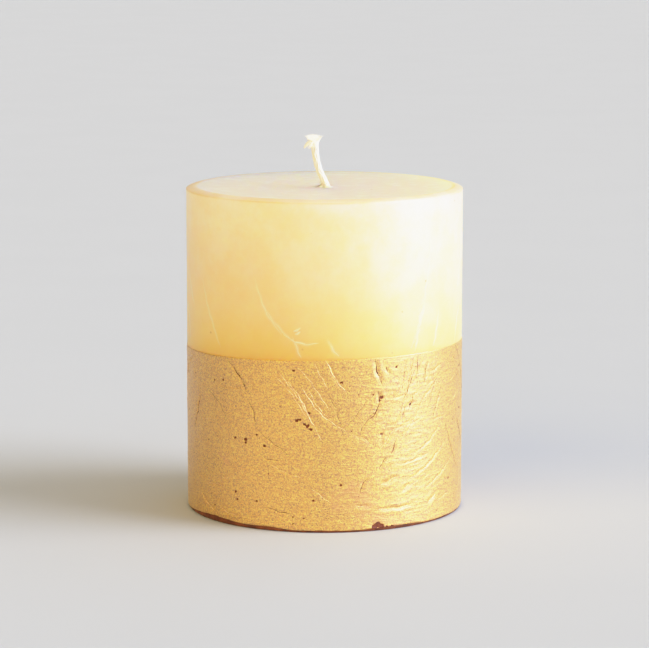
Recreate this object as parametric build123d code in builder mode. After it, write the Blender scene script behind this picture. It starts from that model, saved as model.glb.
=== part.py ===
"""Unity candle: a cast ivory pillar whose lower half is dipped in gold lacquer, in millimetres.

Origin at the centre of the base, +Z up, -Y to the front. The pillar is cast round a pin, topped up by a
second pour, dipped in a red-brown ground and then in gold, and wicked from below with a tabbed wick.
"""

import os
from math import sqrt

from build123d import *

# Driving dimensions
CANDLE_DIAMETER = 76.0  # over the gold
CANDLE_HEIGHT = 89.0  # foot to top face, without the wick
WAX_STEP = 0.1  # the bare wax above the dip stands this far inside the gold
GOLD_FILM = 0.15
GROUND_FILM = 0.15

# Dip line: a plane, because the pillar went into the bath slightly askew
DIP_HEIGHT = 46.1  # on the axis
DIP_RISE_RIGHT = 0.0236  # rise per millimetre towards +X
DIP_RISE_FRONT = 0.0132  # rise per millimetre towards -Y

# Edges
RIM_CHAMFER_WIDTH = 1.5
RIM_CHAMFER_HEIGHT = 1.2
FOOT_CHAMFER = 0.6

# Second pour: a disc in a dish, and the plug that fills the shrink well round the pin
DISH_RADIUS = 36.0
DISH_DEPTH = 2.5
WELL_TOP_RADIUS = 9.0
WELL_FOOT_RADIUS = 2.6
WELL_DEPTH = 14.0  # below the top face

# Pin hole, and the recess that the wick tab sits in
CHANNEL_RADIUS = 1.8
CHANNEL_MOUTH_RADIUS = 3.4
CHANNEL_MOUTH_HEIGHT = 1.6
RECESS_RADIUS = 10.5
RECESS_DEPTH = 0.9

# Wick: a twisted core in a braided jacket, bent at the wax and curling back upright
WICK_RADIUS = 1.2
WICK_CORE_RADIUS = 0.5
WICK_KINK_BELOW_TOP = 0.5
WICK_KINK_RADIUS = 3.0
WICK_KINK_ANGLE = 30.0
WICK_CURL_RADIUS = 18.0
WICK_CURL_ANGLE = 40.0

# Wick tab: a stamped tinplate disc with a drawn and crimped collar
TAB_RADIUS = 10.0
TAB_SHEET = 0.3
TAB_BEAD_RADIUS = 6.2
TAB_BEAD_DEPTH = 0.25
TAB_BEAD_HALF_WIDTH = 0.7
COLLAR_RADIUS = 1.5
COLLAR_CRIMP_RADIUS = 1.4
COLLAR_FLARE_RADIUS = 1.65
COLLAR_BEND = 1.2
COLLAR_TOP = 5.9
CRIMP_LOW = 3.4
CRIMP_HIGH = 4.6
CRIMP_LEAD = 0.3

# Wax seal that closes the pin hole round the wick
SEAL_DEPTH = 6.0
MENISCUS_RADIUS = 3.0
MENISCUS_HEIGHT = 0.7
MENISCUS_LEAD = 0.1  # slope at its outer edge

# Worked out from the above
gold_outer = CANDLE_DIAMETER / 2
gold_inner = gold_outer - GOLD_FILM
ground_inner = gold_inner - GROUND_FILM
wax_outer = gold_outer - WAX_STEP
foot_inner = ground_inner - FOOT_CHAMFER
dish_floor = CANDLE_HEIGHT - DISH_DEPTH
well_floor = CANDLE_HEIGHT - WELL_DEPTH
tab_low = RECESS_DEPTH - TAB_SHEET
above_dip = DIP_HEIGHT + 10.0  # a height clear of the dip line all round

dip_plane = Plane(
    origin=(0, 0, DIP_HEIGHT),
    x_dir=(1, 0, DIP_RISE_RIGHT),
    z_dir=(-DIP_RISE_RIGHT, DIP_RISE_FRONT, 1),
)

# What the two films take up, from their inner face outwards: the wax is cut back by it.
with BuildPart() as dip_zone:
    with BuildSketch(Plane.XZ):
        with BuildLine():
            Polyline(
                (foot_inner, 0),
                (ground_inner, FOOT_CHAMFER),
                (ground_inner, above_dip),
                (gold_outer + 1, above_dip),
                (gold_outer + 1, 0),
                close=True,
            )
        make_face()
    revolve(axis=Axis.Z)
    split(bisect_by=dip_plane, keep=Keep.BOTTOM)

# Cast pillar: dish and shrink well above, pin hole through, tab recess below.
with BuildPart() as wax_body:
    with BuildSketch(Plane.XZ):
        with BuildLine():
            Polyline(
                (RECESS_RADIUS, 0),
                (wax_outer, 0),
                (wax_outer, CANDLE_HEIGHT - RIM_CHAMFER_HEIGHT),
                (wax_outer - RIM_CHAMFER_WIDTH, CANDLE_HEIGHT),
                (DISH_RADIUS, CANDLE_HEIGHT),
                (DISH_RADIUS, dish_floor),
                (WELL_TOP_RADIUS, dish_floor),
                (WELL_FOOT_RADIUS, well_floor),
                (CHANNEL_RADIUS, well_floor),
                (CHANNEL_RADIUS, RECESS_DEPTH + CHANNEL_MOUTH_HEIGHT),
                (CHANNEL_MOUTH_RADIUS, RECESS_DEPTH),
                (RECESS_RADIUS, RECESS_DEPTH),
                close=True,
            )
        make_face()
    revolve(axis=Axis.Z)
    add(dip_zone.part, mode=Mode.SUBTRACT)

# Second pour: fills the dish and the shrink well, and keeps the pin hole open.
with BuildPart() as top_pour:
    with BuildSketch(Plane.XZ):
        with BuildLine():
            Polyline(
                (CHANNEL_RADIUS, well_floor),
                (WELL_FOOT_RADIUS, well_floor),
                (WELL_TOP_RADIUS, dish_floor),
                (DISH_RADIUS, dish_floor),
                (DISH_RADIUS, CANDLE_HEIGHT),
                (CHANNEL_RADIUS, CANDLE_HEIGHT),
                close=True,
            )
        make_face()
    revolve(axis=Axis.Z)

# Red-brown ground under the gold: a film that also wraps the chamfered foot.
with BuildPart() as ground_coat:
    with BuildSketch(Plane.XZ):
        with BuildLine():
            Polyline(
                (foot_inner, 0),
                (foot_inner + GROUND_FILM * sqrt(2), 0),
                (gold_inner, FOOT_CHAMFER - GROUND_FILM * (sqrt(2) - 1)),
                (gold_inner, above_dip),
                (ground_inner, above_dip),
                (ground_inner, FOOT_CHAMFER),
                close=True,
            )
        make_face()
    revolve(axis=Axis.Z)
    split(bisect_by=dip_plane, keep=Keep.BOTTOM)

# Gold film: stops at the top of the foot chamfer, where the ground shows as a thin dark ring.
with BuildPart() as gold_dip:
    with BuildSketch(Plane.XZ):
        with BuildLine():
            Polyline(
                (gold_inner, FOOT_CHAMFER),
                (gold_outer, FOOT_CHAMFER),
                (gold_outer, above_dip),
                (gold_inner, above_dip),
                close=True,
            )
        make_face()
    revolve(axis=Axis.Z)
    split(bisect_by=dip_plane, keep=Keep.BOTTOM)

# Wick path: up the pin hole, a short kink to the left at the wax, then a long curl back upright.
with BuildLine(Plane.XZ) as wick_path:
    rise = Line((0, tab_low), (0, CANDLE_HEIGHT - WICK_KINK_BELOW_TOP))
    kink = JernArc(rise @ 1, rise % 1, WICK_KINK_RADIUS, WICK_KINK_ANGLE)
    JernArc(kink @ 1, kink % 1, WICK_CURL_RADIUS, -WICK_CURL_ANGLE)

with BuildPart() as wick_core:
    with BuildSketch(Plane.XY.offset(tab_low)):
        Circle(WICK_CORE_RADIUS)
    sweep(path=wick_path.wires()[0])

with BuildPart() as wick_braid:
    with BuildSketch(Plane.XY.offset(tab_low)):
        Circle(WICK_RADIUS)
        Circle(WICK_CORE_RADIUS, mode=Mode.SUBTRACT)
    sweep(path=wick_path.wires()[0])

# Wick tab: flat disc with one stiffening bead, and a collar crimped on the wick.
with BuildPart() as wick_sustainer:
    with BuildSketch(Plane.XZ):
        with BuildLine():
            bead_in = TAB_BEAD_RADIUS - TAB_BEAD_HALF_WIDTH
            bead_out = TAB_BEAD_RADIUS + TAB_BEAD_HALF_WIDTH
            collar_foot = (COLLAR_RADIUS, RECESS_DEPTH + COLLAR_BEND)
            Line((WICK_RADIUS, tab_low), (bead_in, tab_low))
            ThreePointArc(
                (bead_in, tab_low),
                (TAB_BEAD_RADIUS, tab_low - TAB_BEAD_DEPTH),
                (bead_out, tab_low),
            )
            Polyline(
                (bead_out, tab_low),
                (TAB_RADIUS, tab_low),
                (TAB_RADIUS, RECESS_DEPTH),
                (COLLAR_RADIUS + COLLAR_BEND, RECESS_DEPTH),
            )
            RadiusArc(
                (COLLAR_RADIUS + COLLAR_BEND, RECESS_DEPTH), collar_foot, COLLAR_BEND
            )
            Polyline(
                collar_foot,
                (COLLAR_RADIUS, CRIMP_LOW - CRIMP_LEAD),
                (COLLAR_CRIMP_RADIUS, CRIMP_LOW),
                (COLLAR_CRIMP_RADIUS, CRIMP_HIGH),
                (COLLAR_RADIUS, CRIMP_HIGH + CRIMP_LEAD),
                (COLLAR_FLARE_RADIUS, COLLAR_TOP),
                (WICK_RADIUS, COLLAR_TOP),
                (WICK_RADIUS, tab_low),
            )
        make_face()
    revolve(axis=Axis.Z)

# Wax seal: a sleeve in the top of the pin hole and a small meniscus that climbs the wick.
with BuildPart() as wick_seal:
    with BuildSketch(Plane.XZ):
        with BuildLine():
            Polyline(
                (0, CANDLE_HEIGHT + MENISCUS_HEIGHT),
                (0, CANDLE_HEIGHT - SEAL_DEPTH),
                (CHANNEL_RADIUS, CANDLE_HEIGHT - SEAL_DEPTH),
                (CHANNEL_RADIUS, CANDLE_HEIGHT),
                (MENISCUS_RADIUS, CANDLE_HEIGHT),
            )
            TangentArc(
                (MENISCUS_RADIUS, CANDLE_HEIGHT),
                (WICK_RADIUS, CANDLE_HEIGHT + MENISCUS_HEIGHT),
                tangent=(-1, MENISCUS_LEAD),
            )
            Line(
                (WICK_RADIUS, CANDLE_HEIGHT + MENISCUS_HEIGHT),
                (0, CANDLE_HEIGHT + MENISCUS_HEIGHT),
            )
        make_face()
    revolve(axis=Axis.Z)
    add(wick_braid.part, mode=Mode.SUBTRACT)
    add(wick_core.part, mode=Mode.SUBTRACT)

pieces = {
    "wax_body": wax_body,
    "top_pour": top_pour,
    "ground_coat": ground_coat,
    "gold_dip": gold_dip,
    "wick_core": wick_core,
    "wick_braid": wick_braid,
    "wick_sustainer": wick_sustainer,
    "wick_seal": wick_seal,
}

os.makedirs("parts", exist_ok=True)
for name, piece in pieces.items():
    piece.part.label = name
    export_step(piece.part, f"parts/{name}.step")
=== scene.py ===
"""Unity candle: the visible model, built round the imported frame.

A pillar of ivory wax is dipped to half its height in gold lacquer over a red-brown ground. Sizes in the
classes are in millimetres; meshes are in metres, in the frame's axes: +Z up the wick, -Y to the front.
"""

import logging
import math
from dataclasses import dataclass, field
from enum import Enum

import bmesh
import bpy
import numpy as np
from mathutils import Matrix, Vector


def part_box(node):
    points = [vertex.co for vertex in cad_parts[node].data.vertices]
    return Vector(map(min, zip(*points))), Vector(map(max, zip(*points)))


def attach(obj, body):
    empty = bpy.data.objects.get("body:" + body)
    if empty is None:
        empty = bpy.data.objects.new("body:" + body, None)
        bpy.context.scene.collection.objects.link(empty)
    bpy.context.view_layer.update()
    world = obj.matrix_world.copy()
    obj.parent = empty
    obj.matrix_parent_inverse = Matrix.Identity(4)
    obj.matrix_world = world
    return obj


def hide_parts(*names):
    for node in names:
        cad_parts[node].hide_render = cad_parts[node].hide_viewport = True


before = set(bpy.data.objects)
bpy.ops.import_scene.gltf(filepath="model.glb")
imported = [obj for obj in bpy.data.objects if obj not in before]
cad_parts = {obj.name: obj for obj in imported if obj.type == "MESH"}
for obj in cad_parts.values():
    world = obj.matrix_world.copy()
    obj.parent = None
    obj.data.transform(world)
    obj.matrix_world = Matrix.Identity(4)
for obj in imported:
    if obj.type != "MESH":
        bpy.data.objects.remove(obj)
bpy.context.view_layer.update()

MM = 0.001
BODY = "root"
MATH = "ShaderNodeMath"

# A Mix node's colour sockets go by number, because its other types use the same names.
MIX_A = 6
MIX_B = 7
MIXED = 2

Socket = bpy.types.NodeSocket
Tree = bpy.types.NodeTree
Span = tuple[float, float]

log = logging.getLogger("candle")


class Slot(Enum):
    """The material slots."""

    IVORY_WAX = "ivory_wax"
    POUR_WAX = "pour_wax"
    GROUND_LACQUER = "ground_lacquer"
    GOLD_LACQUER = "gold_lacquer"
    CORE_COTTON = "core_cotton"
    WICK_COTTON = "wick_cotton"
    TINPLATE = "tinplate"
    SEAL_WAX = "seal_wax"


class Mark(Enum):
    """What a mark on the wall looks like: a white scratch, a fold with a painted highlight, or a dark
    crack.
    """

    SCRATCH = "scratch"
    FOLD = "fold"
    CRACK = "crack"


# ---------------------------------------------------------------- helpers


def linear(code: str) -> tuple[float, float, float, float]:
    """Turn an sRGB hex colour into linear RGBA.

    Args:
        code: six hex digits, such as "E8C98A".

    Returns:
        The linear colour with alpha 1.
    """
    parts = [int(code[i : i + 2], 16) / 255 for i in (0, 2, 4)]
    red, green, blue = (c / 12.92 if c <= 0.04045 else ((c + 0.055) / 1.055) ** 2.4 for c in parts)
    return (red, green, blue, 1.0)


def feed(tree: Tree, node: bpy.types.Node, inputs: dict) -> None:
    """Fill or link a node's inputs.

    Args:
        tree: the node tree.
        node: the node.
        inputs: input name or number to a value, or to the output socket that feeds it.
    """
    for key, value in inputs.items():
        if isinstance(value, Socket):
            tree.links.new(value, node.inputs[key])
        else:
            node.inputs[key].default_value = value


def add_node(tree: Tree, kind: str, inputs: dict | None = None, **settings: object) -> bpy.types.Node:
    """Add a node, set its options, and fill or link its inputs.

    Args:
        tree: the node tree.
        kind: the node's type name.
        inputs: input name or number to a value, or to the output socket that feeds it.
        settings: the node's own options.

    Returns:
        The new node.
    """
    made = tree.nodes.new(kind)
    for key, value in settings.items():
        setattr(made, key, value)
    feed(tree, made, inputs or {})
    return made


def mesh_object(name: str, mesh: bpy.types.Mesh) -> bpy.types.Object:
    """Put a mesh in the scene as an object at the origin.

    Args:
        name: the object's name.
        mesh: its mesh.

    Returns:
        The object.
    """
    made = bpy.data.objects.new(name, mesh)
    bpy.context.scene.collection.objects.link(made)
    return made


def even_angles(columns: int) -> np.ndarray:
    """Angles evenly spaced over one turn, from the front towards +X."""
    return np.linspace(0, 2 * math.pi, columns, endpoint=False)


def points_round(radius: float | np.ndarray, angle: np.ndarray, height: np.ndarray) -> np.ndarray:
    """Places at a radius, an angle from the front towards +X, and a height."""
    return np.stack([radius * np.sin(angle), -radius * np.cos(angle), height + 0 * angle], axis=-1)


def spread_rows(angle: np.ndarray, rows: list[tuple]) -> list[np.ndarray]:
    """Carry a section's rows to every angle.

    Args:
        angle: the angles.
        rows: the radius, the height and perhaps the relief of each row, as one number or one an angle.

    Returns:
        An array of the radii, one of the heights and so on, rows by columns.
    """
    return [np.array([value + 0 * angle for value in values]) for values in zip(*rows)]


def revolve(name: str, radius: np.ndarray, height: np.ndarray) -> bpy.types.Object:
    """Revolve a closed section whose points may vary with the angle.

    Args:
        name: the object's name.
        radius: rows by columns, in millimetres. A row is one point of the section all the way round.
        height: the same, for the heights.

    Returns:
        A closed mesh object with smooth faces that point outwards.
    """
    rows, columns = radius.shape
    points = points_round(radius, even_angles(columns)[None, :], height)
    row = np.arange(rows)[:, None]
    column = np.arange(columns)[None, :]
    after = (column + 1) % columns
    lower = row * columns
    upper = (row + 1) % rows * columns
    corners = (lower + column, lower + after, upper + after, upper + column)
    faces = np.stack(corners, axis=-1).reshape(-1, 4).tolist()
    mesh = bpy.data.meshes.new(name)
    mesh.from_pydata([tuple(p) for p in points.reshape(-1, 3) * MM], [], faces)
    work = bmesh.new()
    work.from_mesh(mesh)
    bmesh.ops.recalc_face_normals(work, faces=work.faces)
    work.to_mesh(mesh)
    work.free()
    mesh.shade_smooth()
    return mesh_object(name, mesh)


def store(mesh: bpy.types.Mesh, name: str, values: np.ndarray) -> None:
    """Store one number a vertex as a named attribute."""
    layer = mesh.attributes.new(name, "FLOAT", "POINT")
    layer.data.foreach_set("value", np.asarray(values, np.float32).ravel())


def grow(piece: bpy.types.Object, tree: Tree, values: dict[str, object]) -> bpy.types.Object:
    """Run a geometry tree on an object and keep its result as a plain mesh.

    Args:
        piece: the object that the tree works on.
        tree: the geometry tree.
        values: named inputs of the tree.

    Returns:
        A new object with the result and the same name. The old one is removed.
    """
    modifier = piece.modifiers.new("grow", "NODES")
    modifier.node_group = tree
    for item in tree.interface.items_tree:
        if item.in_out == "INPUT" and item.name in values:
            modifier[item.identifier] = values[item.name]
    name = piece.name
    evaluated = piece.evaluated_get(bpy.context.evaluated_depsgraph_get())
    mesh = bpy.data.meshes.new_from_object(evaluated)
    piece.modifiers.remove(modifier)
    bpy.data.objects.remove(piece)
    mesh.name = name
    return mesh_object(name, mesh)


def hand_over(piece: bpy.types.Object, slot: Slot, *nodes: str) -> None:
    """Tie a finished piece to the frame and report it.

    Args:
        piece: the finished object.
        slot: the material slot it takes its finish from; not used.
        nodes: the CAD nodes that it stands for.
    """
    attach(piece, BODY)
    if nodes:
        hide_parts(*nodes)
    log.info("%s: %d faces, stands for %s", piece.name, len(piece.data.polygons), nodes or "no node")


# ---------------------------------------------------------------- sizes from the frame


@dataclass(frozen=True)
class CandleFrame:
    """The candle's main sizes, in millimetres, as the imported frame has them."""

    radius: float
    wax_radius: float
    height: float
    dip_height: float
    dip_rise: float
    dip_angle: float
    foot: float = 0.6
    dish: float = 0.55
    film: float = 0.15

    @classmethod
    def read(cls) -> "CandleFrame":
        """Read the sizes from the CAD nodes.

        The dip line is a plane, found from the gold film's highest and lowest upper points. The chamfer at
        the foot and the thickness of a film are the CAD's, and the dish is how far the top sinks in.

        Returns:
            The sizes.
        """
        corners = [v.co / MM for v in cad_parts["gold_dip"].data.vertices]
        radius = max(c.x for c in corners)
        upper = [c for c in corners if c.z > radius / 2]
        high = max(upper, key=lambda c: c.z)
        low = min(upper, key=lambda c: c.z)
        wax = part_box("wax_body")[1] / MM
        return cls(
            radius=radius,
            wax_radius=wax.x,
            height=wax.z,
            dip_height=(high.z + low.z) / 2,
            dip_rise=(high.z - low.z) / 2,
            dip_angle=math.atan2(high.x, -high.y),
        )

    def dip_line(self, angle: np.ndarray) -> np.ndarray:
        """Height of the dip line at an angle from the front, towards +X."""
        return self.dip_height + self.dip_rise * np.cos(angle - self.dip_angle)


# ---------------------------------------------------------------- finishes


def start_finish(name: str) -> tuple[bpy.types.Material, bpy.types.Node, Socket]:
    """Start a material.

    Args:
        name: the material's name.

    Returns:
        The material, its shader, and the Object coordinates that its patterns read.
    """
    material = bpy.data.materials.new(name)
    material.use_nodes = True
    tree = material.node_tree
    place = add_node(tree, "ShaderNodeTexCoord").outputs["Object"]
    return material, tree.nodes["Principled BSDF"], place


@dataclass(frozen=True)
class CastWax:
    """Paraffin and stearin wax, cast in a metal mould.

    Light goes centimetres in and comes out yellower, the skin is satin, and fat crystals near the surface
    give it pale clouds a centimetre or two across. The skin's index is above the 1.44 of the wax inside, to
    match the gloss that the mould gives it. The colour also carries a painted glow, deeper yellow towards
    the dip line and paler on the side that faces the lights.
    """

    name: str = "cast_ivory_wax"
    pale: str = "FEE7E6"
    deep: str = "FEDCC8"
    # Painted glow: the warm light that comes through the wax near the gold, put into the colour.
    glow: str = "FED04C"
    top: str = "F2E1D4"
    # Painted shade: a deeper yellow along the rim's two edges and, more faintly, on its bevel.
    seam: str = "F0BA6A"
    bloom: str = "FFFBF0"
    speck: str = "C08A3C"
    painted_glow_mm: float = 27.0
    scratch_white: float = 0.4
    streak_mm: float = 1.8
    streak_stretch: float = 0.5
    speck_mm: float = 9.0
    cloud_mm: float = 8.0
    peel_mm: float = 0.9
    peel_depth_mm: float = 0.05
    reach_mm: float = 55.0
    reach_rgb: tuple[float, float, float] = (1.0, 0.7, 0.12)
    pour_depth: float = 0.5
    ior: float = 1.44
    roughness: float = 0.42
    skin: float = 1.0
    skin_ior: float = 1.7
    skin_roughness: float = 0.5

    def build(self) -> bpy.types.Material:
        """Make the material.

        Returns:
            The material.
        """
        material, shader, place = start_finish(self.name)
        tree = material.node_tree
        cloud = add_node(
            tree,
            "ShaderNodeTexNoise",
            {"Vector": place, "Scale": 1 / (self.cloud_mm * MM), "Detail": 5.0, "Roughness": 0.62},
        ).outputs["Fac"]
        rough = add_node(
            tree,
            "ShaderNodeMapRange",
            {"Value": cloud, "To Min": self.roughness - 0.08, "To Max": self.roughness + 0.14},
        ).outputs["Result"]
        peel = add_node(
            tree,
            "ShaderNodeTexNoise",
            {"Vector": place, "Scale": 1 / (self.peel_mm * MM), "Detail": 4.0, "Roughness": 0.55},
        ).outputs["Fac"]
        bump = add_node(
            tree, "ShaderNodeBump", {"Height": peel, "Strength": 0.12, "Distance": self.peel_depth_mm * MM}
        ).outputs["Normal"]
        pour = add_node(tree, "ShaderNodeAttribute", attribute_name="pour").outputs["Fac"]
        depth = add_node(
            tree, "ShaderNodeMapRange", {"Value": pour, "To Min": 1.0, "To Max": self.pour_depth}
        ).outputs["Result"]
        inputs = {
            "Base Color": self.colour(tree, place, cloud),
            "Roughness": rough,
            "Normal": bump,
            "IOR": self.ior,
            "Coat Weight": self.skin,
            "Coat Roughness": self.skin_roughness,
            "Coat IOR": self.skin_ior,
            "Subsurface Weight": depth,
            "Subsurface Radius": self.reach_rgb,
            "Subsurface Scale": self.reach_mm * MM,
        }
        feed(tree, shader, inputs)
        return material

    def colour(self, tree: Tree, place: Socket, cloud: Socket) -> Socket:
        """Mix the colour: clouds, then the tints of the wax's zones, then a few specks. The painted glow
        and the painted rim edge shade are among the tints.

        Args:
            tree: the material's tree.
            place: the Object coordinates.
            cloud: the cloud pattern.

        Returns:
            The colour.
        """
        cloudy = add_node(
            tree,
            "ShaderNodeMapRange",
            {"Value": cloud, "From Min": 0.32, "From Max": 0.68},
            interpolation_type="SMOOTHSTEP",
        ).outputs["Result"]
        body = add_node(
            tree,
            "ShaderNodeMix",
            {"Factor": cloudy, MIX_A: linear(self.deep), MIX_B: linear(self.pale)},
            data_type="RGBA",
        ).outputs[MIXED]
        amounts = self.zones(tree, place, cloudy)
        tones = {
            "glow": self.glow,
            "top": self.top,
            "streak": self.bloom,
            "seam": self.seam,
            "frost": self.bloom,
        }
        for key, tone in tones.items():
            body = add_node(
                tree,
                "ShaderNodeMix",
                {"Factor": amounts[key], MIX_A: body, MIX_B: linear(tone)},
                data_type="RGBA",
            ).outputs[MIXED]
        cell = add_node(
            tree,
            "ShaderNodeTexVoronoi",
            {"Vector": place, "Scale": 1 / (self.speck_mm * MM), "Randomness": 1.0},
        ).outputs["Distance"]
        speck = add_node(
            tree,
            "ShaderNodeMapRange",
            {"Value": cell, "From Min": 0.02, "From Max": 0.05, "To Min": 0.6, "To Max": 0.0},
        ).outputs["Result"]
        return add_node(
            tree,
            "ShaderNodeMix",
            {"Factor": speck, MIX_A: body, MIX_B: linear(self.speck)},
            data_type="RGBA",
        ).outputs[MIXED]

    def zones(self, tree: Tree, place: Socket, cloudy: Socket) -> dict[str, Socket]:
        """Find how much of each tint the wax takes: from its attributes, and in streaks on the top.

        Args:
            tree: the material's tree.
            place: the Object coordinates.
            cloudy: how pale the clouds are, from 0 to 1.

        Returns:
            Zone to amount, from 0 to 1.
        """
        along = add_node(
            tree, "ShaderNodeMapping", {"Vector": place, "Scale": (self.streak_stretch, 1.0, 1.0)}
        ).outputs["Vector"]
        streaks = add_node(
            tree,
            "ShaderNodeTexNoise",
            {"Vector": along, "Scale": 1 / (self.streak_mm * MM), "Detail": 4.0, "Roughness": 0.65},
        ).outputs["Fac"]
        streaky = add_node(
            tree,
            "ShaderNodeMapRange",
            {"Value": streaks, "From Min": 0.45, "From Max": 0.68, "To Max": 0.9},
        ).outputs["Result"]
        amounts = {}
        for key in ("glow", "top", "seam", "frost"):
            amounts[key] = add_node(tree, "ShaderNodeAttribute", attribute_name=key).outputs["Fac"]
        amounts["frost"] = add_node(
            tree, MATH, {0: amounts["frost"], 1: self.scratch_white}, operation="MULTIPLY"
        ).outputs[0]
        frosted = add_node(tree, MATH, {0: cloudy, 1: streaky}, operation="MULTIPLY").outputs[0]
        amounts["streak"] = add_node(
            tree, MATH, {0: amounts["top"], 1: frosted}, operation="MULTIPLY"
        ).outputs[0]
        return amounts


@dataclass(frozen=True)
class FrostedWax:
    """Scratched paraffin wax: pale and matt, because the burr is full of tiny cracks."""

    name: str = "scratched_wax"
    light: str = "FFF6E2"
    dark: str = "F8E4BA"
    patch_mm: float = 1.6
    ior: float = 1.44
    roughness: float = 0.6
    glow_through: float = 0.6
    reach_mm: float = 0.2
    reach_rgb: tuple[float, float, float] = (1.0, 0.8, 0.5)

    def build(self) -> bpy.types.Material:
        """Make the material.

        Returns:
            The material.
        """
        material, shader, place = start_finish(self.name)
        tree = material.node_tree
        patch = add_node(
            tree,
            "ShaderNodeTexNoise",
            {"Vector": place, "Scale": 1 / (self.patch_mm * MM), "Detail": 3.0},
        ).outputs["Fac"]
        colour = add_node(
            tree,
            "ShaderNodeMix",
            {"Factor": patch, MIX_A: linear(self.dark), MIX_B: linear(self.light)},
            data_type="RGBA",
        ).outputs[MIXED]
        inputs = {
            "Base Color": colour,
            "Roughness": self.roughness,
            "IOR": self.ior,
            "Subsurface Weight": self.glow_through,
            "Subsurface Radius": self.reach_rgb,
            "Subsurface Scale": self.reach_mm * MM,
        }
        feed(tree, shader, inputs)
        return material


@dataclass(frozen=True)
class GoldLacquer:
    """Gold lacquer: mica and bronze flakes in a clear binder, laid by dipping.

    The flakes lie every way, so it glitters in grains under a soft gloss. Real flakes are 0.05 to 0.1 mm
    across and are drawn about three times as large, so that they show. The binder's index is well above a
    clear lacquer's 1.5, because flakes that lie flat just under its surface mirror the light with it. The
    coat is wrinkled where the wax was handled, and thin in places, where the warm ground shows through.
    """

    name: str = "dipped_gold_lacquer"
    flake_light: str = "F6DC44"
    flake_mid: str = "E6A604"
    flake_dark: str = "B27412"
    thin: str = "E8A048"
    ground: str = "742E06"
    metallic: float = 0.5
    roughness: float = 0.42
    binder_ior: float = 2.5
    binder_roughness: float = 0.5
    flake_mm: float = 0.25
    bare_mm: float = 0.62
    drift_mm: float = 11.0
    thin_mm: float = 13.0
    wrinkle_mm: float = 0.75
    wrinkle_stretch: float = 0.2
    relief_mm: float = 0.18

    def build(self) -> bpy.types.Material:
        """Make the material.

        Returns:
            The material.
        """
        material, shader, place = start_finish(self.name)
        tree = material.node_tree
        flakes, lot, grain = self.flakes(tree, place)
        bare, drift = self.wear(tree, place)
        colour = add_node(
            tree,
            "ShaderNodeMix",
            {"Factor": bare, MIX_A: self.coat(tree, place, flakes), MIX_B: linear(self.ground)},
            data_type="RGBA",
        ).outputs[MIXED]
        raised = self.wrinkles(tree, place, drift)
        lift = add_node(tree, MATH, {0: bare, 1: -0.3, 2: grain}, operation="MULTIPLY_ADD").outputs[0]
        height = add_node(tree, MATH, {0: raised, 1: 0.9, 2: lift}, operation="MULTIPLY_ADD").outputs[0]
        tilted = add_node(tree, MATH, {0: lot, 1: 0.12, 2: height}, operation="MULTIPLY_ADD").outputs[0]
        bump = add_node(
            tree, "ShaderNodeBump", {"Height": tilted, "Strength": 1.0, "Distance": self.relief_mm * MM}
        ).outputs["Normal"]
        metallic = add_node(
            tree, "ShaderNodeMapRange", {"Value": bare, "To Min": self.metallic, "To Max": 0.0}
        ).outputs["Result"]
        glazed = add_node(
            tree, "ShaderNodeMapRange", {"Value": bare, "To Min": 1.0, "To Max": 0.0}
        ).outputs["Result"]
        inputs = {
            "Base Color": colour,
            "Metallic": metallic,
            "Roughness": self.roughness,
            "Normal": bump,
            "Coat Weight": glazed,
            "Coat Roughness": self.binder_roughness,
            "Coat IOR": self.binder_ior,
        }
        feed(tree, shader, inputs)
        return material

    def flakes(self, tree: Tree, place: Socket) -> tuple[Socket, Socket, Socket]:
        """Scatter the flakes.

        Args:
            tree: the material's tree.
            place: the Object coordinates.

        Returns:
            The flakes' colour, a random number for each flake, and a grain a little coarser than they are.
        """
        flake = add_node(
            tree, "ShaderNodeTexVoronoi", {"Vector": place, "Scale": 1 / (self.flake_mm * MM)}
        ).outputs["Color"]
        lot = add_node(tree, "ShaderNodeSeparateColor", {0: flake}).outputs["Red"]
        grain = add_node(
            tree,
            "ShaderNodeTexNoise",
            {"Vector": place, "Scale": 0.5 / (self.flake_mm * MM), "Detail": 3.0, "Roughness": 0.75},
        ).outputs["Fac"]
        mixed = add_node(tree, MATH, {0: grain, 1: 1.2, 2: lot}, operation="MULTIPLY_ADD").outputs[0]
        tone = add_node(
            tree, "ShaderNodeMapRange", {"Value": mixed, "From Min": 0.2, "From Max": 2.0}
        ).outputs["Result"]
        flakes = add_node(tree, "ShaderNodeValToRGB", {"Fac": tone})
        ramp = flakes.color_ramp
        ramp.elements[0].position = 0.2
        ramp.elements[0].color = linear(self.flake_dark)
        ramp.elements[1].position = 0.9
        ramp.elements[1].color = linear(self.flake_light)
        ramp.elements.new(0.5).color = linear(self.flake_mid)
        return flakes.outputs["Color"], lot, grain

    def coat(self, tree: Tree, place: Socket, flakes: Socket) -> Socket:
        """Warm the flakes' colour where the coat is thin.

        Args:
            tree: the material's tree.
            place: the Object coordinates.
            flakes: the flakes' colour.

        Returns:
            The coat's colour.
        """
        thinness = add_node(
            tree,
            "ShaderNodeTexNoise",
            {"Vector": place, "Scale": 1 / (self.thin_mm * MM), "Detail": 7.0, "Roughness": 0.6},
        ).outputs["Fac"]
        thin = add_node(
            tree,
            "ShaderNodeMapRange",
            {"Value": thinness, "From Min": 0.58, "From Max": 0.72, "To Max": 0.6},
            interpolation_type="SMOOTHSTEP",
        ).outputs["Result"]
        return add_node(
            tree,
            "ShaderNodeMix",
            {"Factor": thin, MIX_A: flakes, MIX_B: linear(self.thin)},
            data_type="RGBA",
        ).outputs[MIXED]

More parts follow.
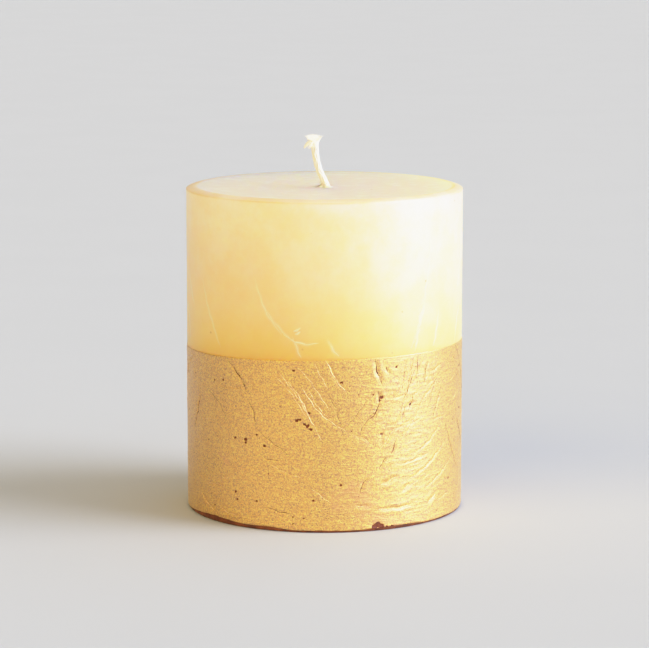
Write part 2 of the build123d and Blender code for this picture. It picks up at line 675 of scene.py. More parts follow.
    def wear(self, tree: Tree, place: Socket) -> tuple[Socket, Socket]:
        """Find where the ground shows: in worn specks and in burst bubbles.

        Args:
            tree: the material's tree.
            place: the Object coordinates.

        Returns:
            How bare the coat is, from 0 to 1, and the slow drift that the wear follows.
        """
        drift = add_node(
            tree,
            "ShaderNodeTexNoise",
            {"Vector": place, "Scale": 1 / (self.drift_mm * MM), "Detail": 5.0, "Roughness": 0.65},
        ).outputs["Fac"]
        patches = add_node(
            tree,
            "ShaderNodeTexNoise",
            {"Vector": place, "Scale": 1 / (self.bare_mm * MM), "Detail": 2.0, "Roughness": 0.6},
        ).outputs["Fac"]
        worn_from = add_node(
            tree,
            "ShaderNodeMapRange",
            {"Value": drift, "From Min": 0.35, "From Max": 0.65, "To Min": 0.8, "To Max": 0.64},
        ).outputs["Result"]
        excess = add_node(tree, MATH, {0: patches, 1: worn_from}, operation="SUBTRACT").outputs[0]
        worn = add_node(tree, MATH, {0: excess, 1: 14.0}, operation="MULTIPLY", use_clamp=True).outputs[0]
        pit = add_node(tree, "ShaderNodeAttribute", attribute_name="pit").outputs["Fac"]
        torn = add_node(tree, MATH, {0: patches, 1: 1.2, 2: pit}, operation="MULTIPLY_ADD").outputs[0]
        burst = add_node(
            tree, "ShaderNodeMapRange", {"Value": torn, "From Min": 0.95, "From Max": 1.1}
        ).outputs["Result"]
        bare = add_node(tree, MATH, {0: worn, 1: burst}, operation="MAXIMUM", use_clamp=True).outputs[0]
        return bare, drift

    def wrinkles(self, tree: Tree, place: Socket, drift: Socket) -> Socket:
        """Raise nearly level wrinkles, highest where the drift is.

        Args:
            tree: the material's tree.
            place: the Object coordinates.
            drift: the slow drift.

        Returns:
            The wrinkles' height, from 0 to 1.
        """
        level = add_node(
            tree,
            "ShaderNodeMapping",
            {"Vector": place, "Scale": (self.wrinkle_stretch, self.wrinkle_stretch, 1.0)},
        ).outputs["Vector"]
        wrinkle = add_node(
            tree,
            "ShaderNodeTexNoise",
            {"Vector": level, "Scale": 1 / (self.wrinkle_mm * MM), "Detail": 1.0, "Distortion": 0.6},
        ).outputs["Fac"]
        crest = add_node(
            tree, "ShaderNodeMapRange", {"Value": wrinkle, "From Min": 0.48, "From Max": 0.66}
        ).outputs["Result"]
        return add_node(tree, MATH, {0: crest, 1: drift}, operation="MULTIPLY").outputs[0]


@dataclass(frozen=True)
class GroundLacquer:
    """Red-brown undercoat: matt pigment lacquer, thin enough at the edges to go orange."""

    name: str = "red_brown_ground"
    light: str = "8E4A22"
    dark: str = "4B1B0D"
    patch_mm: float = 2.2
    relief_mm: float = 0.05
    roughness: float = 0.5

    def build(self) -> bpy.types.Material:
        """Make the material.

        Returns:
            The material.
        """
        material, shader, place = start_finish(self.name)
        tree = material.node_tree
        patch = add_node(
            tree,
            "ShaderNodeTexNoise",
            {"Vector": place, "Scale": 1 / (self.patch_mm * MM), "Detail": 6.0, "Roughness": 0.65},
        ).outputs["Fac"]
        sharp = add_node(
            tree, "ShaderNodeMapRange", {"Value": patch, "From Min": 0.35, "From Max": 0.65}
        ).outputs["Result"]
        colour = add_node(
            tree,
            "ShaderNodeMix",
            {"Factor": sharp, MIX_A: linear(self.dark), MIX_B: linear(self.light)},
            data_type="RGBA",
        ).outputs[MIXED]
        bump = add_node(
            tree, "ShaderNodeBump", {"Height": patch, "Strength": 0.3, "Distance": self.relief_mm * MM}
        ).outputs["Normal"]
        feed(tree, shader, {"Base Color": colour, "Normal": bump, "Roughness": self.roughness})
        return material


@dataclass(frozen=True)
class WaxedCotton:
    """Cotton yarn, plaited or twisted and drawn through wax, with fine fibres along the yarn.

    Real fibres are about 0.02 mm thick and are drawn about six times as thick, so that they show.
    """

    name: str = "waxed_cotton"
    light: str = "FFFDF6"
    dark: str = "FAF1DE"
    fibre_mm: float = 0.12
    fibre_depth_mm: float = 0.04
    stretch: float = 0.12
    roughness: float = 0.55
    glow_through: float = 0.3
    reach_mm: float = 0.25
    reach_rgb: tuple[float, float, float] = (1.0, 0.9, 0.7)

    def build(self) -> bpy.types.Material:
        """Make the material.

        Returns:
            The material.
        """
        material, shader, place = start_finish(self.name)
        tree = material.node_tree
        along = add_node(
            tree, "ShaderNodeMapping", {"Vector": place, "Scale": (1.0, 1.0, self.stretch)}
        ).outputs["Vector"]
        fibre = add_node(
            tree,
            "ShaderNodeTexNoise",
            {"Vector": along, "Scale": 1 / (self.fibre_mm * MM), "Detail": 3.0, "Roughness": 0.6},
        ).outputs["Fac"]
        colour = add_node(
            tree,
            "ShaderNodeMix",
            {"Factor": fibre, MIX_A: linear(self.dark), MIX_B: linear(self.light)},
            data_type="RGBA",
        ).outputs[MIXED]
        bump = add_node(
            tree, "ShaderNodeBump", {"Height": fibre, "Strength": 0.5, "Distance": self.fibre_depth_mm * MM}
        ).outputs["Normal"]
        inputs = {
            "Base Color": colour,
            "Normal": bump,
            "Roughness": self.roughness,
            "Subsurface Weight": self.glow_through,
            "Subsurface Radius": self.reach_rgb,
            "Subsurface Scale": self.reach_mm * MM,
        }
        feed(tree, shader, inputs)
        return material


@dataclass(frozen=True)
class Tinplate:
    """Tinplate: cold-rolled steel with a tin coat, bright, with faint rolling lines one way.

    Real rolling lines are some hundredths of a millimetre apart and are drawn coarser, so that they show.
    """

    name: str = "rolled_tinplate"
    light: str = "D9D8D2"
    dark: str = "A9A8A2"
    line_mm: float = 0.25
    stretch: float = 0.03
    roughness: tuple[float, float] = (0.22, 0.42)

    def build(self) -> bpy.types.Material:
        """Make the material.

        Returns:
            The material.
        """
        material, shader, place = start_finish(self.name)
        tree = material.node_tree
        along = add_node(
            tree, "ShaderNodeMapping", {"Vector": place, "Scale": (self.stretch, 1.0, 1.0)}
        ).outputs["Vector"]
        lines = add_node(
            tree,
            "ShaderNodeTexNoise",
            {"Vector": along, "Scale": 1 / (self.line_mm * MM), "Detail": 3.0},
        ).outputs["Fac"]
        colour = add_node(
            tree,
            "ShaderNodeMix",
            {"Factor": lines, MIX_A: linear(self.dark), MIX_B: linear(self.light)},
            data_type="RGBA",
        ).outputs[MIXED]
        rough = add_node(
            tree,
            "ShaderNodeMapRange",
            {"Value": lines, "To Min": self.roughness[0], "To Max": self.roughness[1]},
        ).outputs["Result"]
        feed(tree, shader, {"Base Color": colour, "Roughness": rough, "Metallic": 1.0})
        return material


@dataclass(frozen=True)
class StudioPaper:
    """Pale matt paper under the candle, very slightly uneven in tone."""

    name: str = "studio_paper"
    tone: str = "CDD4E2"
    shade: str = "CAD1DF"
    patch_mm: float = 60.0
    roughness: float = 0.9
    specular: float = 0.2

    def build(self) -> bpy.types.Material:
        """Make the material.

        Returns:
            The material.
        """
        material, shader, place = start_finish(self.name)
        tree = material.node_tree
        patch = add_node(
            tree, "ShaderNodeTexNoise", {"Vector": place, "Scale": 1 / (self.patch_mm * MM)}
        ).outputs["Fac"]
        colour = add_node(
            tree,
            "ShaderNodeMix",
            {"Factor": patch, MIX_A: linear(self.shade), MIX_B: linear(self.tone)},
            data_type="RGBA",
        ).outputs[MIXED]
        inputs = {"Base Color": colour, "Roughness": self.roughness, "Specular IOR Level": self.specular}
        feed(tree, shader, inputs)
        return material


# ---------------------------------------------------------------- marks on the wall


@dataclass(frozen=True)
class Stroke:
    """One mark on the wall: a bowed line between two places.

    Angles are degrees from the front towards +X, heights and the bow millimetres. A positive bow swings the
    middle to the right of the way from start to end.
    """

    mark: Mark
    start: tuple[float, float]
    end: tuple[float, float]
    bow: float = 0.0
    width: float = 0.3
    depth: float = 0.08


# Marks at the front, listed one by one. Scratches in the bare wax run on as folds and cracks in the gold.
FRONT_STROKES = (
    Stroke(Mark.SCRATCH, (-60, 66), (-47, 48), 0.6, 0.2),
    Stroke(Mark.CRACK, (-43, 45), (-33, 37), -0.8, 0.34, 0.16),
    Stroke(Mark.CRACK, (-38.5, 42), (-33, 37.5), -0.5, 0.2, 0.12),
    Stroke(Mark.CRACK, (-32, 35), (-29, 28), -0.4, 0.24, 0.12),
    Stroke(Mark.SCRATCH, (-29, 68), (-17, 53), 1.2, 0.2),
    Stroke(Mark.SCRATCH, (-24, 60), (-12, 51.5), 0.8, 0.16),
    Stroke(Mark.SCRATCH, (-17, 53.5), (-2, 51.3), 1.2, 0.34),
    Stroke(Mark.SCRATCH, (-12.6, 54.3), (-9.4, 55.2), 0.1, 0.7),
    Stroke(Mark.SCRATCH, (-12.0, 53.5), (-9.6, 54.3), 0.1, 0.7),
    Stroke(Mark.SCRATCH, (-13, 53), (-9, 47), 0.2, 0.18),
    Stroke(Mark.SCRATCH, (47.5, 78), (37, 48), -1.8, 0.26),
    Stroke(Mark.SCRATCH, (45.5, 64), (38.5, 49.5), -0.7, 0.3),
    Stroke(Mark.SCRATCH, (42, 54), (39.5, 47.5), 0.2, 0.26),
    Stroke(Mark.SCRATCH, (54, 58), (50, 48), -0.4, 0.24),
    Stroke(Mark.SCRATCH, (1, 52.5), (6, 47.5), 0.2, 0.12),
    Stroke(Mark.FOLD, (-19, 43.5), (-1, 24.5), -0.9, 0.3, 0.1),
    Stroke(Mark.FOLD, (-15, 41), (-5, 29.5), -0.6, 0.4, 0.12),
    Stroke(Mark.FOLD, (-9, 39.5), (9, 27.5), 1.5, 0.44, 0.12),
    Stroke(Mark.FOLD, (-7, 40), (4, 30), 1.0, 0.2, 0.08),
    Stroke(Mark.FOLD, (0, 47.5), (9.5, 37.5), 0.6, 0.36, 0.12),
    Stroke(Mark.FOLD, (-4, 46), (2, 38.5), 0.3, 0.2, 0.08),
    Stroke(Mark.FOLD, (-21, 43), (-6, 30), -0.6, 0.2, 0.08),
    Stroke(Mark.FOLD, (-11, 45), (2, 33), -0.5, 0.2, 0.08),
    Stroke(Mark.FOLD, (9, 27), (20, 23), -0.6, 0.18, 0.08),
    Stroke(Mark.CRACK, (20.5, 47), (24, 39.5), 0.3, 0.46, 0.18),
    Stroke(Mark.CRACK, (22, 38), (22.6, 35), 0.1, 0.44, 0.16),
    Stroke(Mark.CRACK, (22.6, 35.5), (16, 29.5), -1.0, 0.34, 0.16),
    Stroke(Mark.CRACK, (25.5, 44.5), (27, 42), 0.0, 0.3, 0.12),
    Stroke(Mark.FOLD, (39, 47), (31, 30), -0.8, 0.42, 0.12),
    Stroke(Mark.FOLD, (35, 46), (32.5, 37), -0.3, 0.3, 0.1),
    Stroke(Mark.CRACK, (41, 47), (41, 37.5), 0.2, 0.28, 0.14),
    Stroke(Mark.CRACK, (38, 41), (35.5, 37), 0.0, 0.36, 0.16),
    Stroke(Mark.CRACK, (38.5, 36.5), (36, 31.5), -0.2, 0.24, 0.12),
    Stroke(Mark.CRACK, (35, 44), (33, 38), 0.1, 0.2, 0.1),
    Stroke(Mark.CRACK, (47, 45), (44.5, 38.5), 0.0, 0.3, 0.12),
    Stroke(Mark.CRACK, (34.5, 33.5), (33, 29), 0.0, 0.3, 0.12),
    Stroke(Mark.FOLD, (33, 32), (18, 19), -0.8, 0.3, 0.1),
    Stroke(Mark.CRACK, (30.5, 25), (26, 18.5), -0.3, 0.34, 0.14),
    Stroke(Mark.CRACK, (26, 20), (22.5, 16.5), 0.4, 0.3, 0.12),
    Stroke(Mark.CRACK, (18.5, 14.5), (14.5, 10.5), 0.9, 0.3, 0.12),
    Stroke(Mark.FOLD, (60, 22), (36, 13), -0.7, 0.2, 0.1),
    Stroke(Mark.FOLD, (66, 17), (44, 9.5), -0.5, 0.18, 0.08),
    Stroke(Mark.FOLD, (56, 27), (38, 19.5), -0.6, 0.16, 0.08),
    Stroke(Mark.FOLD, (23, 12.5), (31, 14.5), 0.0, 0.46, 0.14),
    Stroke(Mark.FOLD, (33, 10), (37, 12), 0.0, 0.5, 0.14),
    Stroke(Mark.FOLD, (47, 5.5), (52, 7.5), 0.0, 0.5, 0.14),
    Stroke(Mark.FOLD, (20, 6), (40, 6.5), 0.5, 0.34, 0.12),
    Stroke(Mark.FOLD, (12, 7.5), (20, 7), 0.3, 0.34, 0.12),
    Stroke(Mark.FOLD, (-22, 18), (-9, 15), 0.4, 0.24, 0.08),
    Stroke(Mark.FOLD, (-5, 12), (3, 8), 0.2, 0.28, 0.1),
    Stroke(Mark.CRACK, (-27, 21), (-18, 19.5), 0.8, 0.22, 0.1),
    Stroke(Mark.CRACK, (-24, 6.5), (-13, 5), 0.2, 0.22, 0.1),
    Stroke(Mark.CRACK, (-56, 36), (-43, 28), -1.2, 0.16, 0.08),
    Stroke(Mark.FOLD, (-62, 7), (-50, 2.5), 0.4, 0.4, 0.12),
    Stroke(Mark.FOLD, (-48, 4.5), (-38, 3), 0.3, 0.26, 0.1),
)


@dataclass
class WallMarks:
    """All the marks on the wall: those at the front, and a seeded scatter of the same kinds all round.

    The blank was handled while warm, so the marks fall in sprays: long arcs run down towards a low point,
    and short ripples lie nearly level beside it. Each pair of numbers is a range to draw from. What lies
    round the wall is in degrees, how far a scratch strays in shares of their spacing, and the rest in
    millimetres.
    """

    sizes: CandleFrame
    seed: int = 7
    spray_angles: tuple[float, ...] = (14.0, 104.0, 183.0, 262.0)
    front_faintness: float = 0.75
    arcs_a_spray: int = 15
    arc_aside: Span = (6, 46)
    arc_top: Span = (24, 47)
    arc_sweep: Span = (5, 16)
    arc_drop: Span = (7, 16)
    arc_lowest: float = 3.0
    arc_bow: Span = (-0.4, 1.4)
    arc_width: Span = (0.14, 0.3)
    arc_depth: Span = (0.05, 0.11)
    fold_share: float = 0.62
    ripples_a_spray: int = 14
    ripple_aside: Span = (8, 62)
    ripple_height: Span = (4, 42)
    ripple_sweep: Span = (5, 17)
    ripple_climb: Span = (0.2, 3.4)
    ripple_bow: Span = (-0.5, 0.5)
    ripple_width: Span = (0.08, 0.22)
    ripple_depth: Span = (0.04, 0.1)
    scratches: int = 20
    bare_from: float = 72.0
    bare_sweep: float = 222.0
    scratch_stray: Span = (-0.7, 0.7)
    scratch_top: Span = (54, 84)
    scratch_swing: float = 12.0
    scratch_sweep: Span = (-4, 4)
    scratch_drop: Span = (4, 30)
    scratch_lowest: float = 47.5
    scratch_bow: Span = (-1.6, 1.6)
    scratch_width: Span = (0.1, 0.26)
    step: float = 0.35
    wander: float = 0.14
    quick_wave: float = 1.7
    slow_wave: float = 0.6
    strokes: list[Stroke] = field(default_factory=list)

    def lay(self) -> None:
        """Choose every stroke: those listed at the front, the sprays and the scratches."""
        rng = np.random.default_rng(self.seed)
        self.strokes = list(FRONT_STROKES)
        for centre in self.spray_angles:
            faint = self.front_faintness if centre == self.spray_angles[0] else 1.0
            self.strokes += [self.arc(rng, centre, faint) for _ in range(self.arcs_a_spray)]
            self.strokes += [self.ripple(rng, centre) for _ in range(self.ripples_a_spray)]
        self.strokes += [self.scratch(rng, number) for number in range(self.scratches)]

    def arc(self, rng: np.random.Generator, centre: float, faint: float) -> Stroke:
        """Draw one long arc of a spray.

        Args:
            rng: the random numbers.
            centre: the spray's angle.
            faint: what the width is multiplied by.

        Returns:
            The stroke.
        """
        side = rng.choice((-1.0, 1.0))
        top = (centre + side * rng.uniform(*self.arc_aside), rng.uniform(*self.arc_top))
        across = top[0] - side * rng.uniform(*self.arc_sweep)
        end = (across, max(top[1] - rng.uniform(*self.arc_drop), self.arc_lowest))
        mark = Mark.FOLD if rng.random() < self.fold_share else Mark.CRACK
        width = rng.uniform(*self.arc_width) * faint
        bow = side * rng.uniform(*self.arc_bow)
        return Stroke(mark, top, end, bow, width, rng.uniform(*self.arc_depth))

    def ripple(self, rng: np.random.Generator, centre: float) -> Stroke:
        """Draw one short ripple of a spray.

        Args:
            rng: the random numbers.
            centre: the spray's angle.

        Returns:
            The stroke.
        """
        start = (centre + rng.uniform(*self.ripple_aside), rng.uniform(*self.ripple_height))
        end = (start[0] + rng.uniform(*self.ripple_sweep), start[1] + rng.uniform(*self.ripple_climb))
        width = rng.uniform(*self.ripple_width)
        bow = rng.uniform(*self.ripple_bow)
        return Stroke(Mark.FOLD, start, end, bow, width, rng.uniform(*self.ripple_depth))

    def scratch(self, rng: np.random.Generator, number: int) -> Stroke:
        """Draw one scratch in the bare wax, away from the front.

        Args:
            rng: the random numbers.
            number: which scratch it is, counted round the wall.

        Returns:
            The stroke.
        """
        share = (number + rng.uniform(*self.scratch_stray)) / self.scratches
        place = self.bare_from + self.bare_sweep * share
        start = (place, rng.uniform(*self.scratch_top))
        slant = self.scratch_swing * math.sin(math.radians(3 * place)) + rng.uniform(*self.scratch_sweep)
        end = (place + slant, max(start[1] - rng.uniform(*self.scratch_drop), self.scratch_lowest))
        bow = rng.uniform(*self.scratch_bow)
        return Stroke(Mark.SCRATCH, start, end, bow, rng.uniform(*self.scratch_width))

    def line(self, stroke: Stroke) -> np.ndarray:
        """Points along one stroke.

        Args:
            stroke: the stroke.

        Returns:
            Points on the wall, in millimetres, one every step.
        """
        start = np.array([math.radians(stroke.start[0]) * self.sizes.radius, stroke.start[1]])
        end = np.array([math.radians(stroke.end[0]) * self.sizes.radius, stroke.end[1]])
        way = end - start
        length = float(np.hypot(*way))
        count = max(4, round(length / self.step))
        along = np.linspace(0, 1, count)[:, None]
        side = np.array([way[1], -way[0]]) / length
        swing = 4 * along * (1 - along) * stroke.bow
        quick = np.sin(along * length * self.quick_wave + stroke.start[0])
        slow = 0.8 * np.sin(along * length * self.slow_wave + stroke.end[0])
        wander = self.wander * (quick + slow) * np.sin(math.pi * along)
        flat = start + along * way + (swing + wander) * side
        return points_round(self.sizes.radius, flat[:, 0] / self.sizes.radius, flat[:, 1])

    def mesh(self, name: str, marks: tuple[Mark, ...]) -> bpy.types.Object:
        """Join strokes of some kinds in one mesh of edges.

        Args:
            name: the object's name.
            marks: the kinds to take.

        Returns:
            An object whose points carry the stroke's width, depth and distance along it from 0 to 1.
        """
        points, edges, widths, depths, along = [], [], [], [], []
        for stroke in self.strokes:
            if stroke.mark not in marks:
                continue
            line = self.line(stroke)
            first = len(points)
            points += [tuple(p * MM) for p in line]
            edges += [(first + i, first + i + 1) for i in range(len(line) - 1)]
            widths += [stroke.width] * len(line)
            depths += [stroke.depth] * len(line)
            along += list(np.linspace(0, 1, len(line)))
        mesh = bpy.data.meshes.new(name)
        mesh.from_pydata(points, edges, [])
        store(mesh, "width", np.array(widths))
        store(mesh, "depth", np.array(depths))
        store(mesh, "along", np.array(along))
        return mesh_object(name, mesh)


# Pits at the front, listed one by one: angle, height, radius in millimetres.
FRONT_PITS = (
    (-39.0, 24.3, 0.4),
    (-33.7, 24.2, 0.5),
    (-33.5, 23.4, 0.4),
    (-28.4, 25.8, 0.35),
    (-24.8, 23.0, 0.4),
    (-11.2, 30.4, 0.45),
    (-9.9, 30.7, 0.4),
    (-8.0, 29.5, 0.45),
    (-6.7, 29.0, 0.5),
    (-5.5, 28.1, 0.45),
    (20.6, 1.3, 0.8),
    (22.2, 1.6, 0.9),
    (23.6, 1.1, 0.8),
    (26.0, 0.9, 0.5),
    (28.5, 0.9, 0.5),
    (-51.0, 39.0, 0.3),
    (-39.0, 9.5, 0.4),
    (-38.0, 7.5, 0.35),
    (23.5, 36.2, 0.5),
    (22.6, 35.4, 0.45),
    (37.0, 33.5, 0.4),
    (30.0, 44.0, 0.35),
    (-12.5, 43.8, 0.35),
)


@dataclass
class WallPits:
    """Pits where a bubble in the lacquer burst down to the ground coat."""

    sizes: CandleFrame
    seed: int = 11
    scattered: int = 230
    height: Span = (2, 45)
    smallest: float = 0.12
    spare: float = 0.3

    def mesh(self, name: str) -> bpy.types.Object:
        """Make the pits' middles as loose points that carry their radius.

        Args:
            name: the object's name.

        Returns:
            The object.
        """
        rng = np.random.default_rng(self.seed)
        pits = list(FRONT_PITS)
        for _ in range(self.scattered):
            place = (rng.uniform(-180, 180), rng.uniform(*self.height))
            pits.append((*place, self.smallest + self.spare * rng.random() ** 3))
        angle = np.radians([p[0] for p in pits])
        points = points_round(self.sizes.radius, angle, np.array([p[1] for p in pits]))
        mesh = bpy.data.meshes.new(name)
        mesh.from_pydata([tuple(p * MM) for p in points], [], [])
        store(mesh, "size", np.array([p[2] for p in pits]))
        return mesh_object(name, mesh)


# ---------------------------------------------------------------- geometry trees


def open_tree(
    name: str, numbers: dict[str, float], objects: tuple[str, ...] = ()
) -> tuple[Tree, dict[str, Socket]]:
    """Start a geometry tree with a geometry input, named inputs and a material input.

    Args:
        name: the tree's name.
        numbers: input name to its default value.
        objects: names of the object inputs.

    Returns:
        The tree and its inputs' sockets by name.
    """
    tree = bpy.data.node_groups.new(name, "GeometryNodeTree")
    tree.interface.new_socket("Geometry", in_out="INPUT", socket_type="NodeSocketGeometry")
    for key, value in numbers.items():
        made = tree.interface.new_socket(key, in_out="INPUT", socket_type="NodeSocketFloat")
        made.default_value = value
    for key in objects:
        tree.interface.new_socket(key, in_out="INPUT", socket_type="NodeSocketObject")
    tree.interface.new_socket("Material", in_out="INPUT", socket_type="NodeSocketMaterial")
    tree.interface.new_socket("Geometry", in_out="OUTPUT", socket_type="NodeSocketGeometry")
    ways_in = add_node(tree, "NodeGroupInput")
    return tree, {s.name: s for s in ways_in.outputs if s.name}


def close_tree(tree: Tree, geometry: Socket, material: Socket) -> Tree:
    """End a geometry tree: realise what is instanced and set the material.

    Args:
        tree: the tree.
        geometry: what it has made.
        material: the material input.

    Returns:
        The finished tree.
    """
    real = add_node(tree, "GeometryNodeRealizeInstances", {0: geometry}).outputs[0]
    dressed = add_node(tree, "GeometryNodeSetMaterial", {"Geometry": real, "Material": material}).outputs[0]
    add_node(tree, "NodeGroupOutput", {0: dressed})
    return tree


def read_nearest(tree: Tree, marks: Socket, place: Socket, keys: tuple[str, ...]) -> dict[str, Socket]:
    """Read numbers stored on the point of a mark that is nearest to each place.

    Args:
        tree: the geometry tree.
        marks: the marks' geometry.
        place: where to look from.
        keys: names of the stored numbers.

    Returns:
        Name to the number's socket.
    """
    nearest = add_node(
        tree, "GeometryNodeSampleNearest", {"Geometry": marks, "Sample Position": place}, domain="POINT"
    ).outputs["Index"]
    read = {}
    for key in keys:
        value = add_node(
            tree, "GeometryNodeInputNamedAttribute", {"Name": key}, data_type="FLOAT"
        ).outputs[0]
        read[key] = add_node(
            tree, "GeometryNodeSampleIndex", {"Geometry": marks, "Value": value, "Index": nearest}
        ).outputs[0]
    return read


def relief_tree() -> Tree:
    """A tree that gives a wall its relief.

    A point moves along its normal by a slow swell, a fine grain, level ripples in patches, a groove with
    raised lips along each mark and a dent at each pit, all in proportion to the wall's own "relief"
    attribute. It leaves the attributes "frost" beside the marks and "pit" in the dents for the material.

    Returns:
        The tree.
    """
    numbers = {
        "Swell": 0.08,
        "Swell Size": 14.0,
        "Grain": 0.02,
        "Grain Size": 0.9,
        "Ripple": 0.0,
        "Ripple Size": 1.3,
        "Ripple Stretch": 0.25,
        "Groove": 1.0,
        "Frost Reach": 0.8,
        "Seed": 1.0,
    }
    patches_a_mm = 0.07
    seed_shift = (31.7, 17.3, 0.0)
    least_reach = 0.12 * MM
    lip_place, lip_height = 2.0, 0.45
    pit_depth = -0.35
    tree, way = open_tree("wall_relief", numbers, ("Marks", "Pits"))
    place = add_node(tree, "GeometryNodeInputPosition").outputs[0]
    place_mm = add_node(
        tree, "ShaderNodeVectorMath", {0: place, "Scale": 1 / MM}, operation="SCALE"
    ).outputs[0]
    shift = add_node(
        tree, "ShaderNodeVectorMath", {0: seed_shift, "Scale": way["Seed"]}, operation="SCALE"
    ).outputs[0]
    spot = add_node(tree, "ShaderNodeVectorMath", {0: place_mm, 1: shift}, operation="ADD").outputs[0]
    moves = []
    for size, height in (("Swell Size", "Swell"), ("Grain Size", "Grain")):
        scale = add_node(tree, MATH, {0: 1.0, 1: way[size]}, operation="DIVIDE").outputs[0]
        noise = add_node(
            tree, "ShaderNodeTexNoise", {"Vector": spot, "Scale": scale, "Detail": 2.0}
        ).outputs[0]
        wave = add_node(
            tree, "ShaderNodeMapRange", {"Value": noise, "To Min": -1.0, "To Max": 1.0}
        ).outputs[0]
        moves.append(add_node(tree, MATH, {0: wave, 1: way[height]}, operation="MULTIPLY").outputs[0])

    squeeze = add_node(
        tree, "ShaderNodeCombineXYZ", {0: way["Ripple Stretch"], 1: way["Ripple Stretch"], 2: 1.0}
    ).outputs[0]
    level = add_node(tree, "ShaderNodeVectorMath", {0: spot, 1: squeeze}, operation="MULTIPLY").outputs[0]
    scale = add_node(tree, MATH, {0: 1.0, 1: way["Ripple Size"]}, operation="DIVIDE").outputs[0]
    rippled = add_node(
        tree, "ShaderNodeTexNoise", {"Vector": level, "Scale": scale, "Detail": 1.5, "Distortion": 0.4}
    ).outputs[0]
    crest = add_node(
        tree,
        "ShaderNodeMapRange",
        {"Value": rippled, "From Min": 0.5, "From Max": 0.62},
        interpolation_type="SMOOTHSTEP",
    ).outputs[0]
    where = add_node(
        tree, "ShaderNodeTexNoise", {"Vector": spot, "Scale": patches_a_mm, "Detail": 2.0}
    ).outputs[0]
    patchy = add_node(
        tree, "ShaderNodeMapRange", {"Value": where, "From Min": 0.38, "From Max": 0.6, "To Min": 0.15}
    ).outputs[0]
    strength = add_node(tree, MATH, {0: patchy, 1: way["Ripple"]}, operation="MULTIPLY").outputs[0]
    moves.append(add_node(tree, MATH, {0: crest, 1: strength}, operation="MULTIPLY").outputs[0])

    marks = add_node(tree, "GeometryNodeObjectInfo", {"Object": way["Marks"]}).outputs["Geometry"]
    away = add_node(
        tree, "GeometryNodeProximity", {0: marks, "Sample Position": place}, target_element="EDGES"
    ).outputs["Distance"]
    read = read_nearest(tree, marks, place, ("width", "depth", "along"))
    half_turn = add_node(tree, MATH, {0: read["along"], 1: math.pi}, operation="MULTIPLY").outputs[0]
    fade = add_node(tree, MATH, {0: half_turn}, operation="SINE").outputs[0]
    reach = add_node(
        tree, MATH, {0: read["width"], 1: MM, 2: least_reach}, operation="MULTIPLY_ADD"
    ).outputs[0]
    ratio = add_node(tree, MATH, {0: away, 1: reach}, operation="DIVIDE").outputs[0]
    beyond = add_node(tree, MATH, {0: ratio, 1: lip_place}, operation="SUBTRACT").outputs[0]
    frost_reach = add_node(tree, MATH, {0: way["Frost Reach"], 1: MM}, operation="MULTIPLY").outputs[0]
    near = add_node(tree, MATH, {0: away, 1: frost_reach}, operation="DIVIDE").outputs[0]

    pits = add_node(tree, "GeometryNodeObjectInfo", {"Object": way["Pits"]}).outputs["Geometry"]
    pit_away = add_node(
        tree, "GeometryNodeProximity", {0: pits, "Sample Position": place}, target_element="POINTS"
    ).outputs["Distance"]
    pit_size = read_nearest(tree, pits, place, ("size",))["size"]
    pit_reach = add_node(tree, MATH, {0: pit_size, 1: MM}, operation="MULTIPLY").outputs[0]
    pit_ratio = add_node(tree, MATH, {0: pit_away, 1: pit_reach}, operation="DIVIDE").outputs[0]

    # Each falls from 1 in a bell, by the square of how far away the mark is.
    bells = {}
    for key, distance in (("hollow", ratio), ("lip", beyond), ("frost", near), ("pit", pit_ratio)):
        squared = add_node(tree, MATH, {0: distance, 1: distance}, operation="MULTIPLY").outputs[0]
        bells[key] = add_node(tree, MATH, {0: 1 / math.e, 1: squared}, operation="POWER").outputs[0]
    lip = add_node(tree, MATH, {0: bells["lip"], 1: lip_height}, operation="MULTIPLY").outputs[0]
    shape = add_node(tree, MATH, {0: lip, 1: bells["hollow"]}, operation="SUBTRACT").outputs[0]
    depth = add_node(tree, MATH, {0: read["depth"], 1: way["Groove"]}, operation="MULTIPLY").outputs[0]
    faded = add_node(tree, MATH, {0: depth, 1: fade}, operation="MULTIPLY").outputs[0]
    moves.append(add_node(tree, MATH, {0: shape, 1: faded}, operation="MULTIPLY").outputs[0])
    dent = add_node(tree, MATH, {0: pit_size, 1: pit_depth}, operation="MULTIPLY").outputs[0]
    total = add_node(tree, MATH, {0: bells["pit"], 1: dent}, operation="MULTIPLY").outputs[0]
    for move in moves:
        total = add_node(tree, MATH, {0: total, 1: move}, operation="ADD").outputs[0]

    mask = add_node(
        tree, "GeometryNodeInputNamedAttribute", {"Name": "relief"}, data_type="FLOAT"
    ).outputs[0]
    masked = add_node(tree, MATH, {0: total, 1: mask}, operation="MULTIPLY").outputs[0]
    lift = add_node(tree, MATH, {0: masked, 1: MM}, operation="MULTIPLY").outputs[0]
    normal = add_node(tree, "GeometryNodeInputNormal").outputs[0]
    offset = add_node(
        tree, "ShaderNodeVectorMath", {0: normal, "Scale": lift}, operation="SCALE"
    ).outputs[0]
    frost = add_node(tree, MATH, {0: bells["frost"], 1: fade}, operation="MULTIPLY").outputs[0]
    made = way["Geometry"]
    for key, value in (("frost", frost), ("pit", bells["pit"])):
        made = add_node(
            tree,
            "GeometryNodeStoreNamedAttribute",
            {"Geometry": made, "Name": key, "Value": value},
            data_type="FLOAT",
            domain="POINT",
        ).outputs[0]
    made = add_node(tree, "GeometryNodeSetPosition", {"Geometry": made, "Offset": offset}).outputs[0]
    return close_tree(tree, made, way["Material"])


